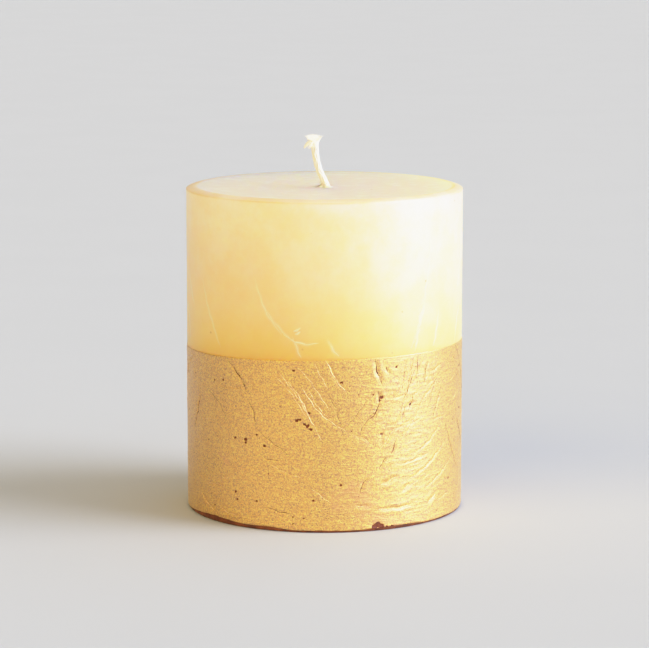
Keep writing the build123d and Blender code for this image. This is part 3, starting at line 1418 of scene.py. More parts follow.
def ribbon_tree() -> Tree:
    """A tree that sweeps a thin tapering thread along each mark, half sunk in the finished wall.

    Returns:
        The tree.
    """
    breaks_a_mm = 0.6
    sunk_share = -0.55
    tree, way = open_tree("mark_threads", {"Rise": 0.02, "Widen": 1.0}, ("Wall",))
    wall = add_node(tree, "GeometryNodeObjectInfo", {"Object": way["Wall"]}).outputs["Geometry"]
    place = add_node(tree, "GeometryNodeInputPosition").outputs[0]
    on_wall = add_node(
        tree, "GeometryNodeProximity", {0: wall, "Sample Position": place}, target_element="FACES"
    ).outputs["Position"]
    read = {}
    for key in ("width", "along"):
        read[key] = add_node(
            tree, "GeometryNodeInputNamedAttribute", {"Name": key}, data_type="FLOAT"
        ).outputs[0]
    half_turn = add_node(tree, MATH, {0: read["along"], 1: math.pi}, operation="MULTIPLY").outputs[0]
    swell = add_node(tree, MATH, {0: half_turn}, operation="SINE").outputs[0]
    fade = add_node(tree, MATH, {0: swell, 1: 0.6}, operation="POWER").outputs[0]
    broken = add_node(
        tree, "ShaderNodeTexNoise", {"Vector": place, "Scale": breaks_a_mm / MM, "Detail": 1.0}
    ).outputs[0]
    uneven = add_node(
        tree, "ShaderNodeMapRange", {"Value": broken, "From Min": 0.3, "From Max": 0.6, "To Min": 0.25}
    ).outputs[0]
    half = add_node(tree, MATH, {0: read["width"], 1: 0.5 * MM}, operation="MULTIPLY").outputs[0]
    widened = add_node(tree, MATH, {0: half, 1: way["Widen"]}, operation="MULTIPLY").outputs[0]
    tapered = add_node(tree, MATH, {0: widened, 1: fade}, operation="MULTIPLY").outputs[0]
    radius = add_node(tree, MATH, {0: tapered, 1: uneven}, operation="MULTIPLY").outputs[0]
    flat = add_node(
        tree, "ShaderNodeVectorMath", {0: place, 1: (1.0, 1.0, 0.0)}, operation="MULTIPLY"
    ).outputs[0]
    outward = add_node(tree, "ShaderNodeVectorMath", {0: flat}, operation="NORMALIZE").outputs[0]
    rise = add_node(tree, MATH, {0: way["Rise"], 1: MM}, operation="MULTIPLY").outputs[0]
    sink = add_node(tree, MATH, {0: radius, 1: sunk_share, 2: rise}, operation="MULTIPLY_ADD").outputs[0]
    offset = add_node(
        tree, "ShaderNodeVectorMath", {0: outward, "Scale": sink}, operation="SCALE"
    ).outputs[0]
    sunk = add_node(
        tree,
        "GeometryNodeSetPosition",
        {"Geometry": way["Geometry"], "Position": on_wall, "Offset": offset},
    ).outputs[0]
    kept = add_node(
        tree,
        "GeometryNodeStoreNamedAttribute",
        {"Geometry": sunk, "Name": "thickness", "Value": radius},
        data_type="FLOAT",
        domain="POINT",
    ).outputs[0]
    line = add_node(tree, "GeometryNodeMeshToCurve", {"Mesh": kept}).outputs[0]
    section = add_node(
        tree, "GeometryNodeCurvePrimitiveCircle", {"Resolution": 6, "Radius": 1.0}
    ).outputs[0]
    thick = add_node(
        tree, "GeometryNodeInputNamedAttribute", {"Name": "thickness"}, data_type="FLOAT"
    ).outputs[0]
    thread = add_node(
        tree,
        "GeometryNodeCurveToMesh",
        {"Curve": line, "Profile Curve": section, "Scale": thick, "Fill Caps": True},
    ).outputs[0]
    return close_tree(tree, thread, way["Material"])


def copy_line(tree: Tree, count: Socket | int, copies: Socket) -> tuple[Socket, Socket, Socket]:
    """Make a number of equal lines to bend into strands or fibres.

    Args:
        tree: the geometry tree.
        count: points on a line.
        copies: how many lines.

    Returns:
        The lines, each one's number, and the distance along it from 0 to 1.
    """
    line = add_node(tree, "GeometryNodeCurvePrimitiveLine").outputs[0]
    fine = add_node(tree, "GeometryNodeResampleCurve", {"Curve": line, "Count": count}).outputs[0]
    many = add_node(
        tree, "GeometryNodeDuplicateElements", {"Geometry": fine, "Amount": copies}, domain="SPLINE"
    )
    kept = add_node(
        tree,
        "GeometryNodeStoreNamedAttribute",
        {"Geometry": many.outputs["Geometry"], "Name": "number", "Value": many.outputs["Duplicate Index"]},
        data_type="FLOAT",
        domain="CURVE",
    ).outputs[0]
    number = add_node(
        tree, "GeometryNodeInputNamedAttribute", {"Name": "number"}, data_type="FLOAT"
    ).outputs[0]
    return kept, number, add_node(tree, "GeometryNodeSplineParameter").outputs["Factor"]


def braid_tree() -> Tree:
    """A tree that plaits strands round a path.

    Half the strands wind each way on a ring and pass over and under each other. Towards the top the ring
    opens and the strands spread.

    Returns:
        The tree.
    """
    numbers = {
        "Strands": 16.0,
        "Ring": 0.66,
        "Strand": 0.24,
        "Pitch": 34.0,
        "Weave": 0.05,
        "Step": 0.3,
        "Flare": 0.2,
        "Flare Length": 2.5,
    }
    tree, way = open_tree("plaited_wick", numbers)
    path = way["Geometry"]
    length = add_node(tree, "GeometryNodeCurveLength", {0: path}).outputs[0]
    length_mm = add_node(tree, MATH, {0: length, 1: MM}, operation="DIVIDE").outputs[0]
    count = add_node(tree, MATH, {0: length_mm, 1: way["Step"]}, operation="DIVIDE").outputs[0]
    kept, strand, along = copy_line(tree, count, way["Strands"])
    sample = add_node(
        tree,
        "GeometryNodeSampleCurve",
        {"Curves": path, "Factor": along},
        mode="FACTOR",
        use_all_curves=True,
    )
    odd = add_node(tree, MATH, {0: strand, 1: 2.0}, operation="MODULO").outputs[0]
    sense = add_node(tree, MATH, {0: odd, 1: -2.0, 2: 1.0}, operation="MULTIPLY_ADD").outputs[0]
    turns = add_node(tree, MATH, {0: length_mm, 1: way["Pitch"]}, operation="DIVIDE").outputs[0]
    turn = add_node(tree, MATH, {0: turns, 1: 2 * math.pi}, operation="MULTIPLY").outputs[0]
    wound = add_node(tree, MATH, {0: along, 1: turn}, operation="MULTIPLY").outputs[0]
    share = add_node(tree, MATH, {0: strand, 1: way["Strands"]}, operation="DIVIDE").outputs[0]
    start = add_node(tree, MATH, {0: share, 1: 2 * math.pi}, operation="MULTIPLY").outputs[0]
    angle = add_node(tree, MATH, {0: wound, 1: sense, 2: start}, operation="MULTIPLY_ADD").outputs[0]
    meetings = add_node(tree, MATH, {0: way["Strands"], 1: 0.5}, operation="MULTIPLY").outputs[0]
    crossing = add_node(tree, MATH, {0: wound, 1: meetings}, operation="MULTIPLY").outputs[0]
    wave = add_node(tree, MATH, {0: crossing}, operation="SINE").outputs[0]
    over = add_node(tree, MATH, {0: wave, 1: sense}, operation="MULTIPLY").outputs[0]
    woven = add_node(
        tree, MATH, {0: over, 1: way["Weave"], 2: way["Ring"]}, operation="MULTIPLY_ADD"
    ).outputs[0]
    still = add_node(tree, MATH, {0: 1.0, 1: along}, operation="SUBTRACT").outputs[0]
    to_top = add_node(tree, MATH, {0: still, 1: length_mm}, operation="MULTIPLY").outputs[0]
    lengths = add_node(tree, MATH, {0: to_top, 1: way["Flare Length"]}, operation="DIVIDE").outputs[0]
    opening = add_node(tree, MATH, {0: 1 / math.e, 1: lengths}, operation="POWER").outputs[0]
    ring = add_node(
        tree, MATH, {0: opening, 1: way["Flare"], 2: woven}, operation="MULTIPLY_ADD"
    ).outputs[0]
    ring_m = add_node(tree, MATH, {0: ring, 1: MM}, operation="MULTIPLY").outputs[0]
    arm = add_node(
        tree, "ShaderNodeVectorMath", {0: sample.outputs["Normal"], "Scale": ring_m}, operation="SCALE"
    ).outputs[0]
    spoke = add_node(
        tree,
        "ShaderNodeVectorRotate",
        {"Vector": arm, "Axis": sample.outputs["Tangent"], "Angle": angle},
        rotation_type="AXIS_ANGLE",
    ).outputs[0]
    spot = add_node(
        tree, "ShaderNodeVectorMath", {0: sample.outputs["Position"], 1: spoke}, operation="ADD"
    ).outputs[0]
    placed = add_node(tree, "GeometryNodeSetPosition", {"Geometry": kept, "Position": spot}).outputs[0]
    strand_m = add_node(tree, MATH, {0: way["Strand"], 1: MM}, operation="MULTIPLY").outputs[0]
    section = add_node(
        tree, "GeometryNodeCurvePrimitiveCircle", {"Resolution": 8, "Radius": strand_m}
    ).outputs[0]
    plait = add_node(
        tree, "GeometryNodeCurveToMesh", {"Curve": placed, "Profile Curve": section, "Fill Caps": True}
    ).outputs[0]
    return close_tree(tree, plait, way["Material"])


def fray_tree() -> Tree:
    """A tree that grows a tuft of loose fibres at the end of a path.

    Each fibre starts somewhere in the cut end, leans out from the middle and drifts to one side. Those near
    the middle stand, and those near the rim lean the most and droop. Real fibres are too fine to show, so
    each one here stands for a twist of some dozens.

    Returns:
        The tree.
    """
    numbers = {
        "Fibres": 640.0,
        "Mouth": 1.15,
        "Length": 2.3,
        "Spread": 0.55,
        "Drift": -0.12,
        "Droop": 0.22,
        "Fibre": 0.1,
        "Below": 0.9,
        "Seed": 3.0,
    }
    tree, way = open_tree("frayed_tip", numbers)
    end = add_node(
        tree, "GeometryNodeSampleCurve", {"Curves": way["Geometry"], "Factor": 1.0}, mode="FACTOR"
    )
    points_a_fibre = 8
    lean_power, droop_power = 1.4, 2.2
    kept, number, along = copy_line(tree, points_a_fibre, way["Fibres"])
    draws = []
    for turn in range(4):
        seed = add_node(tree, MATH, {0: way["Seed"], 1: float(turn)}, operation="ADD").outputs[0]
        draw = add_node(tree, "FunctionNodeRandomValue", {"ID": number, "Seed": seed}, data_type="FLOAT")
        draws.append(draw.outputs["Value"])
    way_round, from_middle, how_long, how_loose = draws

    long = add_node(
        tree, "ShaderNodeMapRange", {"Value": how_long, "To Min": 0.5, "To Max": 1.0}
    ).outputs[0]
    reach = add_node(tree, MATH, {0: long, 1: way["Length"]}, operation="MULTIPLY").outputs[0]
    share = add_node(tree, MATH, {0: from_middle}, operation="SQRT").outputs[0]
    loose = add_node(
        tree, "ShaderNodeMapRange", {"Value": how_loose, "To Min": 0.5, "To Max": 1.3}
    ).outputs[0]
    bent = add_node(tree, MATH, {0: along, 1: lean_power}, operation="POWER").outputs[0]
    lean = add_node(tree, MATH, {0: bent, 1: reach}, operation="MULTIPLY").outputs[0]
    opened = add_node(tree, MATH, {0: lean, 1: way["Spread"]}, operation="MULTIPLY").outputs[0]
    spread = add_node(
        tree, MATH, {0: opened, 1: loose, 2: way["Mouth"]}, operation="MULTIPLY_ADD"
    ).outputs[0]
    out = add_node(tree, MATH, {0: spread, 1: share}, operation="MULTIPLY").outputs[0]
    late = add_node(tree, MATH, {0: along, 1: droop_power}, operation="POWER").outputs[0]
    heavy = add_node(tree, MATH, {0: share, 1: way["Droop"]}, operation="MULTIPLY").outputs[0]
    bowed = add_node(tree, MATH, {0: late, 1: heavy}, operation="MULTIPLY").outputs[0]
    rise = add_node(tree, MATH, {0: along, 1: bowed}, operation="SUBTRACT").outputs[0]
    risen = add_node(tree, MATH, {0: rise, 1: reach}, operation="MULTIPLY").outputs[0]
    up = add_node(tree, MATH, {0: risen, 1: way["Below"]}, operation="SUBTRACT").outputs[0]
    arm = add_node(tree, "ShaderNodeCombineXYZ", {0: out, 2: up}).outputs[0]
    twist = add_node(
        tree, "ShaderNodeMapRange", {"Value": how_loose, "To Min": -0.5, "To Max": 0.5}
    ).outputs[0]
    round_m = add_node(tree, MATH, {0: way_round, 1: 2 * math.pi}, operation="MULTIPLY").outputs[0]
    angle = add_node(tree, MATH, {0: along, 1: twist, 2: round_m}, operation="MULTIPLY_ADD").outputs[0]
    turned = add_node(
        tree, "ShaderNodeVectorRotate", {"Vector": arm, "Angle": angle}, rotation_type="Z_AXIS"
    ).outputs[0]
    aside = add_node(tree, MATH, {0: lean, 1: way["Drift"]}, operation="MULTIPLY").outputs[0]
    blown = add_node(tree, "ShaderNodeCombineXYZ", {0: aside}).outputs[0]
    local = add_node(tree, "ShaderNodeVectorMath", {0: turned, 1: blown}, operation="ADD").outputs[0]
    local_m = add_node(tree, "ShaderNodeVectorMath", {0: local, "Scale": MM}, operation="SCALE").outputs[0]
    spot = add_node(
        tree, "ShaderNodeVectorMath", {0: end.outputs["Position"], 1: local_m}, operation="ADD"
    ).outputs[0]
    placed = add_node(tree, "GeometryNodeSetPosition", {"Geometry": kept, "Position": spot}).outputs[0]
    section = add_node(tree, "GeometryNodeCurvePrimitiveCircle", {"Resolution": 4, "Radius": MM}).outputs[0]
    taper = add_node(tree, "ShaderNodeMapRange", {"Value": along, "To Min": 1.0, "To Max": 0.4}).outputs[0]
    thick = add_node(tree, MATH, {0: taper, 1: way["Fibre"]}, operation="MULTIPLY").outputs[0]
    tuft = add_node(
        tree,
        "GeometryNodeCurveToMesh",
        {"Curve": placed, "Profile Curve": section, "Scale": thick, "Fill Caps": True},
    ).outputs[0]
    return close_tree(tree, tuft, way["Material"])


# ---------------------------------------------------------------- the pieces


@dataclass
class WaxPillar:
    """The cast pillar and its second pour, which have run together into one body of wax."""

    sizes: CandleFrame
    columns: int = 576
    wall_rows: int = 104
    top_rows: int = 34
    wall_below_film: float = 0.2
    lap: float = 0.7
    rim_width: float = 2.3
    rim_height: float = 0.8
    rim_line: tuple[Span, ...] = (
        (0.03, 0.12),
        (0.1, 0.26),
        (0.22, 0.4),
        (0.5, 0.68),
        (0.78, 0.9),
        (0.9, 0.97),
        (1.0, 1.0),
    )
    rim_relief: float = 0.25
    recess_radius: float = 10.5
    recess_depth: float = 0.9
    base_ring: float = 24.0
    hole_radius: float = 1.3
    pour_edge: float = 36.0
    pour_step: float = 0.12
    pour_blend: float = 0.25
    # Painted shade along the rim's two edges, and a fainter one over the bevel between them.
    rim_shade_width: float = 0.28
    rim_shade_strength: float = 0.45
    rim_shade_uneven: float = 0.3
    bevel_shade: float = 0.5
    frost_blend: float = 0.6
    top_depth: float = 3.0
    pour_band: float = 7.0
    # The painted glow is made paler on the side that faces the lights, which paints their light in.
    lit_side_angle: float = 80.0
    lit_side_paling: float = 0.22

    def section(self) -> list[np.ndarray]:
        """Lay out the section, from the recess out along the base, up the wall and in over the top.

        The relief fades towards the film and the rim, and towards the edge of the top.

        Returns:
            Radii, heights and relief, rows by columns.
        """
        angle = even_angles(self.columns)
        dip = self.sizes.dip_line(angle)
        wall = self.sizes.wax_radius
        inner = wall - self.wall_below_film
        rows = [
            (self.recess_radius, self.recess_depth, 0.0),
            (self.recess_radius, 0.0, 0.0),
            (self.base_ring, 0.0, 0.0),
            (inner - self.sizes.foot, 0.0, 0.0),
            (inner, self.sizes.foot, 0.0),
            (inner, dip - 2 * self.lap, 0.0),
        ]
        wall_top = self.sizes.height - self.rim_height
        for step in np.linspace(0, 1, self.wall_rows):
            height = (dip - self.lap) * (1 - step) + wall_top * step
            rows.append((wall, height, min(1.0, 0.2 + step * 40, 0.15 + (1 - step) * 12)))
        for across, rise in self.rim_line:
            height = wall_top + rise * self.rim_height
            rows.append((wall - across * self.rim_width, height, self.rim_relief))
        rim = wall - self.rim_width
        for radius in np.linspace(rim, self.hole_radius, self.top_rows + 1)[1:]:
            inside = 1 - radius / rim
            sunk = self.sizes.dish * (1 - (radius / rim) ** 2)
            edge = self.pour_step / (1 + math.exp((radius - self.pour_edge) / self.pour_blend))
            rows.append((radius, self.sizes.height - sunk - edge, min(1.0, 0.35 + 4 * inside)))
        rows.append((self.hole_radius, self.recess_depth, 0.0))
        return spread_rows(angle, rows)

    def tint(self, mesh: bpy.types.Mesh, radius: np.ndarray, height: np.ndarray, painted_glow_mm: float) -> None:
        """Store how much of each of the wax's tints every vertex takes.

        Args:
            mesh: the revolved section.
            radius: the section's radii.
            height: its heights.
            painted_glow_mm: how far above the dip line the painted glow reaches.
        """
        angle = even_angles(self.columns)
        wall, crown = self.sizes.wax_radius, self.sizes.height
        inner = wall - self.rim_width
        above = np.clip(height - self.sizes.dip_line(angle)[None, :], 0, None)
        # Painted glow: deeper yellow towards the dip line, and paler on the side that faces the lights, as
        # painted light.
        facing_lights = (1 + np.cos(angle - math.radians(self.lit_side_angle))) / 2
        store(mesh, "glow", np.exp(-above / painted_glow_mm) * (1 - self.lit_side_paling * facing_lights**2))
        # Painted shade at the rim: the bevel takes some of the deeper tint, and the two edges take the
        # most.
        bevel = (radius > inner) & (height > crown - self.rim_height)
        seam = self.bevel_shade * bevel
        for corner in ((wall, crown - self.rim_height), (inner, crown)):
            away = np.hypot(radius - corner[0], height - corner[1])
            seam = np.maximum(seam, np.exp(-((away / self.rim_shade_width) ** 2)))
        uneven = self.rim_shade_uneven * np.sin(3 * angle + 0.4) * np.sin(7 * angle + 1.1)
        store(mesh, "seam", seam * (self.rim_shade_strength + uneven))
        inward = np.clip((inner - radius) / self.frost_blend, 0, 1)
        store(mesh, "top", inward * (height > crown - self.top_depth))
        store(mesh, "pour", np.exp(-(((crown - height) / self.pour_band) ** 2)) * (radius > inner))

    def build(self, relief: Tree, marks: bpy.types.Object, pits: bpy.types.Object) -> bpy.types.Object:
        """Revolve the section and give it its relief.

        Args:
            relief: the relief tree.
            marks: scratches that dent the wall.
            pits: pits, all of them below the bare wax.

        Returns:
            The finished piece.
        """
        radius, height, mask = self.section()
        blank = revolve("cast_pillar", radius, height)
        finish = CastWax()
        store(blank.data, "relief", mask)
        self.tint(blank.data, radius, height, finish.painted_glow_mm)
        return grow(
            blank,
            relief,
            {
                "Marks": marks,
                "Pits": pits,
                "Swell": 0.07,
                "Swell Size": 16.0,
                "Grain": 0.012,
                "Grain Size": 2.4,
                "Groove": 0.6,
                "Frost Reach": 0.35,
                "Seed": 2.0,
                "Material": finish.build(),
            },
        )


@dataclass
class DippedFilm:
    """A film laid on the wall by dipping, from its foot to the tilted dip line."""

    sizes: CandleFrame
    columns: int = 560
    rows: int = 172
    foot_ragged: float = 0.3
    ragged: float = 0.12
    edge: float = 0.08
    turned_in: float = 0.1
    seed: int = 5
    # Where the gold stops higher and the dark ground shows: the ground coat, and painted shade at the foot,
    # most at the front left.
    bare_and_shaded_feet: tuple[tuple[float, float, float], ...] = (
        (-52.0, 17.0, 1.0),
        (-24.0, 7.0, 0.5),
        (30.0, 9.0, 0.35),
        (118.0, 14.0, 0.7),
        (-150.0, 20.0, 0.6),
    )

    def edge_noise(self, angle: np.ndarray, waves: int) -> np.ndarray:
        """A closed wavy line round the candle, mostly between -1 and 1.

        Args:
            angle: the angles to work it out at.
            waves: the most waves in one turn.

        Returns:
            One value an angle.
        """
        rng = np.random.default_rng(self.seed + waves)
        total = np.zeros_like(angle)
        added = 24
        for _ in range(added):
            total += np.sin(rng.integers(3, waves) * angle + rng.uniform(0, 2 * math.pi))
        return total / (added / 2)

    def section(self) -> list[np.ndarray]:
        """Lay out the film's section: up the outside, over the edge and down the inside.

        Returns:
            Radii, heights and relief, rows by columns.
        """
        angle = even_angles(self.columns)
        turned = np.degrees(np.where(angle > math.pi, angle - 2 * math.pi, angle))
        low = self.sizes.foot + self.foot_ragged * np.clip(self.edge_noise(angle, 60), 0, 1)
        for place, reach, rise in self.bare_and_shaded_feet:
            low = low + rise * np.exp(-(((turned - place) / reach) ** 2))
        high = self.sizes.dip_line(angle) + self.ragged * self.edge_noise(angle, 160)
        outer = self.sizes.radius
        inner = outer - self.sizes.film
        middle = (outer + inner) / 2
        rows = [(middle, low, 0.0)]
        for step in np.linspace(0, 1, self.rows):
            height = (low + self.edge) * (1 - step) + (high - self.edge) * step
            rows.append((outer, height, min(1.0, 0.2 + 30 * step, 0.2 + 30 * (1 - step))))
        rows.append((middle, high, 0.0))
        rows.append((inner, high - self.turned_in, 0.0))
        rows.append((inner, low + self.turned_in, 0.0))
        return spread_rows(angle, rows)

    def build(self, relief: Tree, marks: bpy.types.Object, pits: bpy.types.Object) -> bpy.types.Object:
        """Revolve the section and give it its relief.

        Args:
            relief: the relief tree.
            marks: folds and cracks in the film.
            pits: burst bubbles.

        Returns:
            The finished piece.
        """
        radius, height, mask = self.section()
        blank = revolve("gold_film", radius, height)
        store(blank.data, "relief", mask)
        return grow(
            blank,
            relief,
            {
                "Marks": marks,
                "Pits": pits,
                "Swell": 0.09,
                "Swell Size": 5.0,
                "Grain": 0.035,
                "Grain Size": 0.8,
                "Ripple": 0.045,
                "Ripple Size": 0.9,
                "Ripple Stretch": 0.22,
                "Groove": 1.1,
                "Frost Reach": 0.4,
                "Seed": 4.0,
                "Material": GoldLacquer().build(),
            },
        )


@dataclass
class GroundFilm:
    """The red-brown coat under the gold, which wraps the foot and shows there as a thin dark line: the
    ground coat, and painted shade at the foot.
    """

    sizes: CandleFrame
    columns: int = 360
    foot_rows: int = 9
    below_gold: float = 0.5
    under_gold: float = 0.01

    def build(self) -> bpy.types.Object:
        """Revolve the film with a rounded foot.

        Returns:
            The finished piece.
        """
        angle = even_angles(self.columns)
        foot = self.sizes.foot
        outer = self.sizes.radius - self.sizes.film + self.under_gold
        inner = self.sizes.radius - 2 * self.sizes.film
        top = self.sizes.dip_line(angle) - self.below_gold
        rows = [(inner, top), (outer, top)]
        for step in np.linspace(0, 1, self.foot_rows):
            turn = step * math.pi / 2
            rows.append((outer - foot * (1 - math.cos(turn)), foot * (1 - math.sin(turn))))
        rows.append((inner - foot, 0.0))
        rows.append((inner, foot))
        piece = revolve("ground_film", *spread_rows(angle, rows))
        piece.data.materials.append(GroundLacquer().build())
        return piece


@dataclass
class Wick:
    """The plaited cotton wick: a twisted core in a jacket, kinked to the left and frayed at the cut."""

    core_short: float = 0.3
    side_tuft_drop: float = 0.6
    line: tuple[Span, ...] = (
        (0.0, 0.6),
        (0.0, 30.0),
        (0.0, 60.0),
        (0.0, 80.0),
        (0.1, 85.0),
        (0.8, 87.9),
        (0.25, 89.6),
        (-0.85, 91.5),
        (-1.8, 93.9),
        (-2.35, 96.4),
        (-2.68, 98.9),
        (-2.68, 101.6),
    )

    def path(self, name: str, short: float = 0.0) -> bpy.types.Object:
        """Draw the wick's middle line, from the tab to the cut end.

        Args:
            name: the object's name.
            short: how far below the last point it stops, in millimetres.

        Returns:
            A smooth curve object.
        """
        curve = bpy.data.curves.new(name, "CURVE")
        curve.dimensions = "3D"
        curve.resolution_u = 24
        spline = curve.splines.new("NURBS")
        east, up = self.line[-1]
        places = [*self.line[:-1], (east, up - short)]
        spline.points.add(len(places) - 1)
        for point, (east, up) in zip(spline.points, places):
            point.co = (east * MM, 0.0, up * MM, 1.0)
        spline.order_u = 4
        spline.use_endpoint_u = True
        made = bpy.data.objects.new(name, curve)
        bpy.context.scene.collection.objects.link(made)
        return made

    def build(self, braid: Tree, fray: Tree) -> dict[str, bpy.types.Object]:
        """Plait the jacket, twist the core and fray the end.

        Args:
            braid: the plaiting tree.
            fray: the tuft tree.

        Returns:
            Piece name to object.
        """
        cotton = WaxedCotton().build()
        made = {}
        made["wick_jacket"] = grow(self.path("wick_jacket"), braid, {"Material": cotton})
        core = {
            "Strands": 3.0,
            "Ring": 0.22,
            "Strand": 0.24,
            "Pitch": 3.5,
            "Weave": 0.0,
            "Flare": 0.0,
            "Material": WaxedCotton(name="twisted_core_cotton", light="F4EDDD", dark="E2D2B0").build(),
        }
        made["wick_core_yarn"] = grow(self.path("wick_core_yarn", self.core_short), braid, core)
        made["wick_tuft"] = grow(self.path("wick_tuft"), fray, {"Material": cotton})
        side = {
            "Fibres": 130.0,
            "Mouth": 1.0,
            "Length": 2.5,
            "Spread": 0.3,
            "Drift": -0.7,
            "Droop": 1.7,
            "Below": 0.6,
            "Seed": 8.0,
            "Material": cotton,
        }
        made["wick_side_tuft"] = grow(self.path("wick_side_tuft", self.side_tuft_drop), fray, side)
        for piece in made.values():
            piece.data.shade_smooth()
        # Loose fibres let most of the light through, so they cast no shadow on each other.
        for key in ("wick_tuft", "wick_side_tuft"):
            made[key].visible_shadow = False
        return made


@dataclass
class WickTab:
    """The tinplate tab in the base, whose CAD shape is right and only needs its metal."""

    def dress(self) -> None:
        """Give the CAD node its metal."""
        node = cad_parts["wick_sustainer"]
        node.data.materials.clear()
        node.data.materials.append(Tinplate().build())
        log.info("wick_sustainer: CAD node, %d faces", len(node.data.polygons))


@dataclass
class WaxSeal:
    """The wax that closes the pin hole and climbs the wick in a small uneven collar."""

    sizes: CandleFrame
    columns: int = 72
    rim_rows: int = 9
    radius: float = 3.0
    neck: float = 1.0
    sleeve: float = 1.35
    bore: float = 0.3
    depth: float = 6.0
    rise: float = 0.75
    sunk: float = 0.06
    sleeve_below: float = 0.1

    def build(self) -> bpy.types.Object:
        """Revolve the collar, wider and higher in two places than between them.

        Returns:
            The finished piece.
        """
        angle = even_angles(self.columns)
        floor = self.sizes.height - self.sizes.dish
        uneven = 1 + 0.25 * np.sin(2 * angle + 0.6) + 0.15 * np.sin(5 * angle)
        rows = [
            (self.bore, floor - self.depth),
            (self.sleeve, floor - self.depth),
            (self.sleeve, floor - self.sleeve_below),
        ]
        for step in np.linspace(0, 1, self.rim_rows):
            across = self.radius * uneven * (1 - step) + self.neck * step
            rows.append((across, floor - self.sunk + self.rise * step**2.2 * uneven))
        rows.append((self.bore, floor + self.rise))
        piece = revolve("wick_seal_collar", *spread_rows(angle, rows))
        piece.data.materials.append(CastWax(name="seal_wax", reach_mm=1.2, deep="F8E8C0").build())
        return piece


# ---------------------------------------------------------------- studio


@dataclass(frozen=True)
class Lamp:
    """A broad soft light, far off.

    The angle is in degrees from the front towards +X, the rise in degrees above the floor, the spread in
    degrees as seen from the candle, and the power in watts a square metre before the exposure.
    """

    name: str
    angle: float
    rise: float
    spread: float
    power: float
    tone: str


@dataclass
class Studio:
    """A pale floor, a high key and a low window light from the right, a warm fill, and the camera.

    The exposure scales every light, so that the brightest highlights stay below 1, where the tone curve
    ends. The shoulder pairs each light level, before the exposure, with the level that is shown for it.
    """

    floor_radius: float = 6000.0
    camera_away: float = 777.6
    camera_height: float = 174.7
    camera_pitch: float = 9.088
    lens: float = 158.07
    sensor: float = 36.0
    lamps: tuple[Lamp, ...] = (
        Lamp("key", 78.0, 38.0, 40.0, 1.35, "FFFDF8"),
        Lamp("window", 75.0, 9.0, 40.0, 3.3, "F0F4FF"),
        Lamp("fill", -38.0, 24.0, 60.0, 1.45, "FFDC74"),
    )
    ambient_left: float = 0.34
    ambient_right: float = 0.8
    tone_left: str = "FFE8C4"
    tone_right: str = "F0F5FC"
    exposure: float = 0.4
    shoulder: tuple[Span, ...] = (
        (0.2, 0.2),
        (0.4, 0.4),
        (0.6, 0.6),
        (0.8, 0.775),
        (1.0, 0.875),
        (1.3, 0.935),
        (1.7, 0.955),
        (2.5, 0.98),
    )

    def floor(self) -> None:
        """Lay the floor, a large disc."""
        work = bmesh.new()
        bmesh.ops.create_circle(work, cap_ends=True, segments=128, radius=self.floor_radius * MM)
        mesh = bpy.data.meshes.new("floor")
        work.to_mesh(mesh)
        work.free()
        piece = mesh_object("floor", mesh)
        mesh.materials.append(StudioPaper().build())

    def hang(self, lamp: Lamp) -> None:
        """Hang one light.

        Args:
            lamp: the light.
        """
        light = bpy.data.lights.new(lamp.name, "SUN")
        light.angle = math.radians(lamp.spread)
        light.energy = lamp.power * self.exposure
        light.color = linear(lamp.tone)[:3]
        made = bpy.data.objects.new(lamp.name, light)
        bpy.context.scene.collection.objects.link(made)
        made.rotation_euler = (math.radians(90 - lamp.rise), 0.0, math.radians(lamp.angle))

    def surroundings(self) -> None:
        """Light the room: pale towards the window side on the right, duller on the left."""
        world = bpy.data.worlds.new("surroundings")
        world.use_nodes = True
        tree = world.node_tree
        way = add_node(tree, "ShaderNodeTexCoord").outputs["Generated"]
        east = add_node(tree, "ShaderNodeSeparateXYZ", {0: way}).outputs["X"]
        share = add_node(
            tree,
            "ShaderNodeMapRange",
            {"Value": east, "From Min": -0.9, "From Max": 0.9},
            interpolation_type="SMOOTHSTEP",
        ).outputs["Result"]
        strength = add_node(
            tree,
            "ShaderNodeMapRange",
            {
                "Value": share,
                "To Min": self.ambient_left * self.exposure,
                "To Max": self.ambient_right * self.exposure,
            },
        ).outputs["Result"]
        tone = add_node(
            tree,
            "ShaderNodeMix",
            {"Factor": share, MIX_A: linear(self.tone_left), MIX_B: linear(self.tone_right)},
            data_type="RGBA",
        ).outputs[MIXED]
        sky = tree.nodes["Background"]
        tree.links.new(tone, sky.inputs["Color"])
        tree.links.new(strength, sky.inputs["Strength"])
        bpy.context.scene.world = world

    def camera(self) -> None:
        """Set up the camera."""
        data = bpy.data.cameras.new("camera")
        data.lens = self.lens
        data.sensor_width = self.sensor
        made = bpy.data.objects.new("camera", data)
        bpy.context.scene.collection.objects.link(made)
        made.location = (0.0, -self.camera_away * MM, self.camera_height * MM)
        made.rotation_euler = (math.radians(90 - self.camera_pitch), 0.0, 0.0)
        bpy.context.scene.camera = made

    def build(self) -> None:
        """Make the floor, lights, surroundings and camera."""
        self.camera()
        self.floor()
        for lamp in self.lamps:
            self.hang(lamp)
        self.surroundings()
        self.tone_curve()

    def tone_curve(self) -> None:
        """Give the picture a soft shoulder, so that highlights pale instead of clipping."""
        view = bpy.context.scene.view_settings
        view.view_transform = "Standard"
        view.use_curve_mapping = True
        all_colours = 3
        line = view.curve_mapping.curves[all_colours]
        line.points[-1].location = (1.0, self.shoulder[-1][1])
        for light, shown in self.shoulder[:-1]:
            line.points.new(light * self.exposure, shown)
        view.curve_mapping.update()


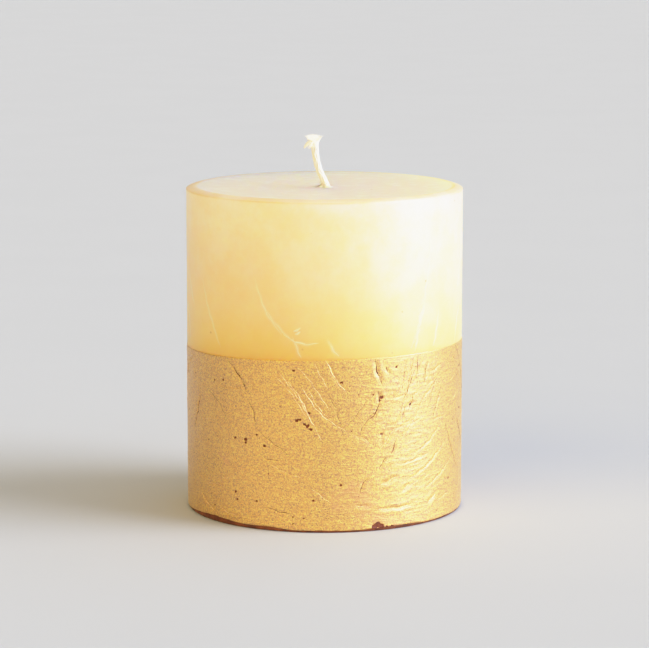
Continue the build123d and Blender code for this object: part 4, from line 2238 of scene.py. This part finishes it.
def main() -> None:
    """Build every piece in order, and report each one."""
    logging.basicConfig(level=logging.INFO, format="%(name)s: %(message)s")
    sizes = CandleFrame.read()
    log.info("frame: %s", sizes)
    Studio().build()

    marks = WallMarks(sizes)
    marks.lay()
    scratches = marks.mesh("scratch_lines", (Mark.SCRATCH,))
    folds = marks.mesh("fold_lines", (Mark.FOLD,))
    cracks = marks.mesh("crack_lines", (Mark.CRACK,))
    lines = marks.mesh("gold_lines", (Mark.FOLD, Mark.CRACK))
    pits = WallPits(sizes).mesh("pit_places")
    # The relief tree needs some pits, and these are all too low to reach the bare wax.
    low_pits = WallPits(sizes, scattered=0).mesh("low_pit_places")
    relief, threads = relief_tree(), ribbon_tree()

    pillar = WaxPillar(sizes).build(relief, scratches, low_pits)
    film = DippedFilm(sizes).build(relief, lines, pits)
    burr = grow(
        scratches, threads, {"Wall": pillar, "Rise": 0.02, "Widen": 0.9, "Material": FrostedWax().build()}
    )
    burr.name = "scratch_burrs"
    # The folds' threads take a paler gold, a painted highlight along their crests.
    fold_highlight_gold = GoldLacquer(
        name="rubbed_gold_lacquer", flake_light="FFF3CC", flake_mid="FFD77E", flake_dark="E0A040"
    ).build()
    fold = grow(folds, threads, {"Wall": film, "Rise": 0.08, "Widen": 1.0, "Material": fold_highlight_gold})
    fold.name = "gold_folds"
    dark = GroundLacquer(name="crack_ground", light="6A3416").build()
    crack = grow(cracks, threads, {"Wall": film, "Rise": 0.01, "Widen": 0.9, "Material": dark})
    crack.name = "ground_cracks"
    for guide in (lines, pits, low_pits):
        bpy.data.objects.remove(guide)

    ground = GroundFilm(sizes).build()
    wick = Wick().build(braid_tree(), fray_tree())
    seal = WaxSeal(sizes).build()
    # These lie on the wax or in it, and a shadow from them would stop the light that travels through it.
    for covering in (film, fold, crack, ground, seal):
        covering.visible_shadow = False
    hand_over(pillar, Slot.IVORY_WAX, "wax_body", "top_pour")
    hand_over(burr, Slot.POUR_WAX)
    hand_over(film, Slot.GOLD_LACQUER, "gold_dip")
    hand_over(fold, Slot.GOLD_LACQUER)
    hand_over(ground, Slot.GROUND_LACQUER, "ground_coat")
    hand_over(crack, Slot.GROUND_LACQUER)
    hand_over(wick["wick_jacket"], Slot.WICK_COTTON, "wick_braid")
    hand_over(wick["wick_core_yarn"], Slot.CORE_COTTON, "wick_core")
    hand_over(wick["wick_tuft"], Slot.WICK_COTTON)
    hand_over(wick["wick_side_tuft"], Slot.WICK_COTTON)
    hand_over(seal, Slot.SEAL_WAX, "wick_seal")
    WickTab().dress()


if __name__ == "__main__":
    main()
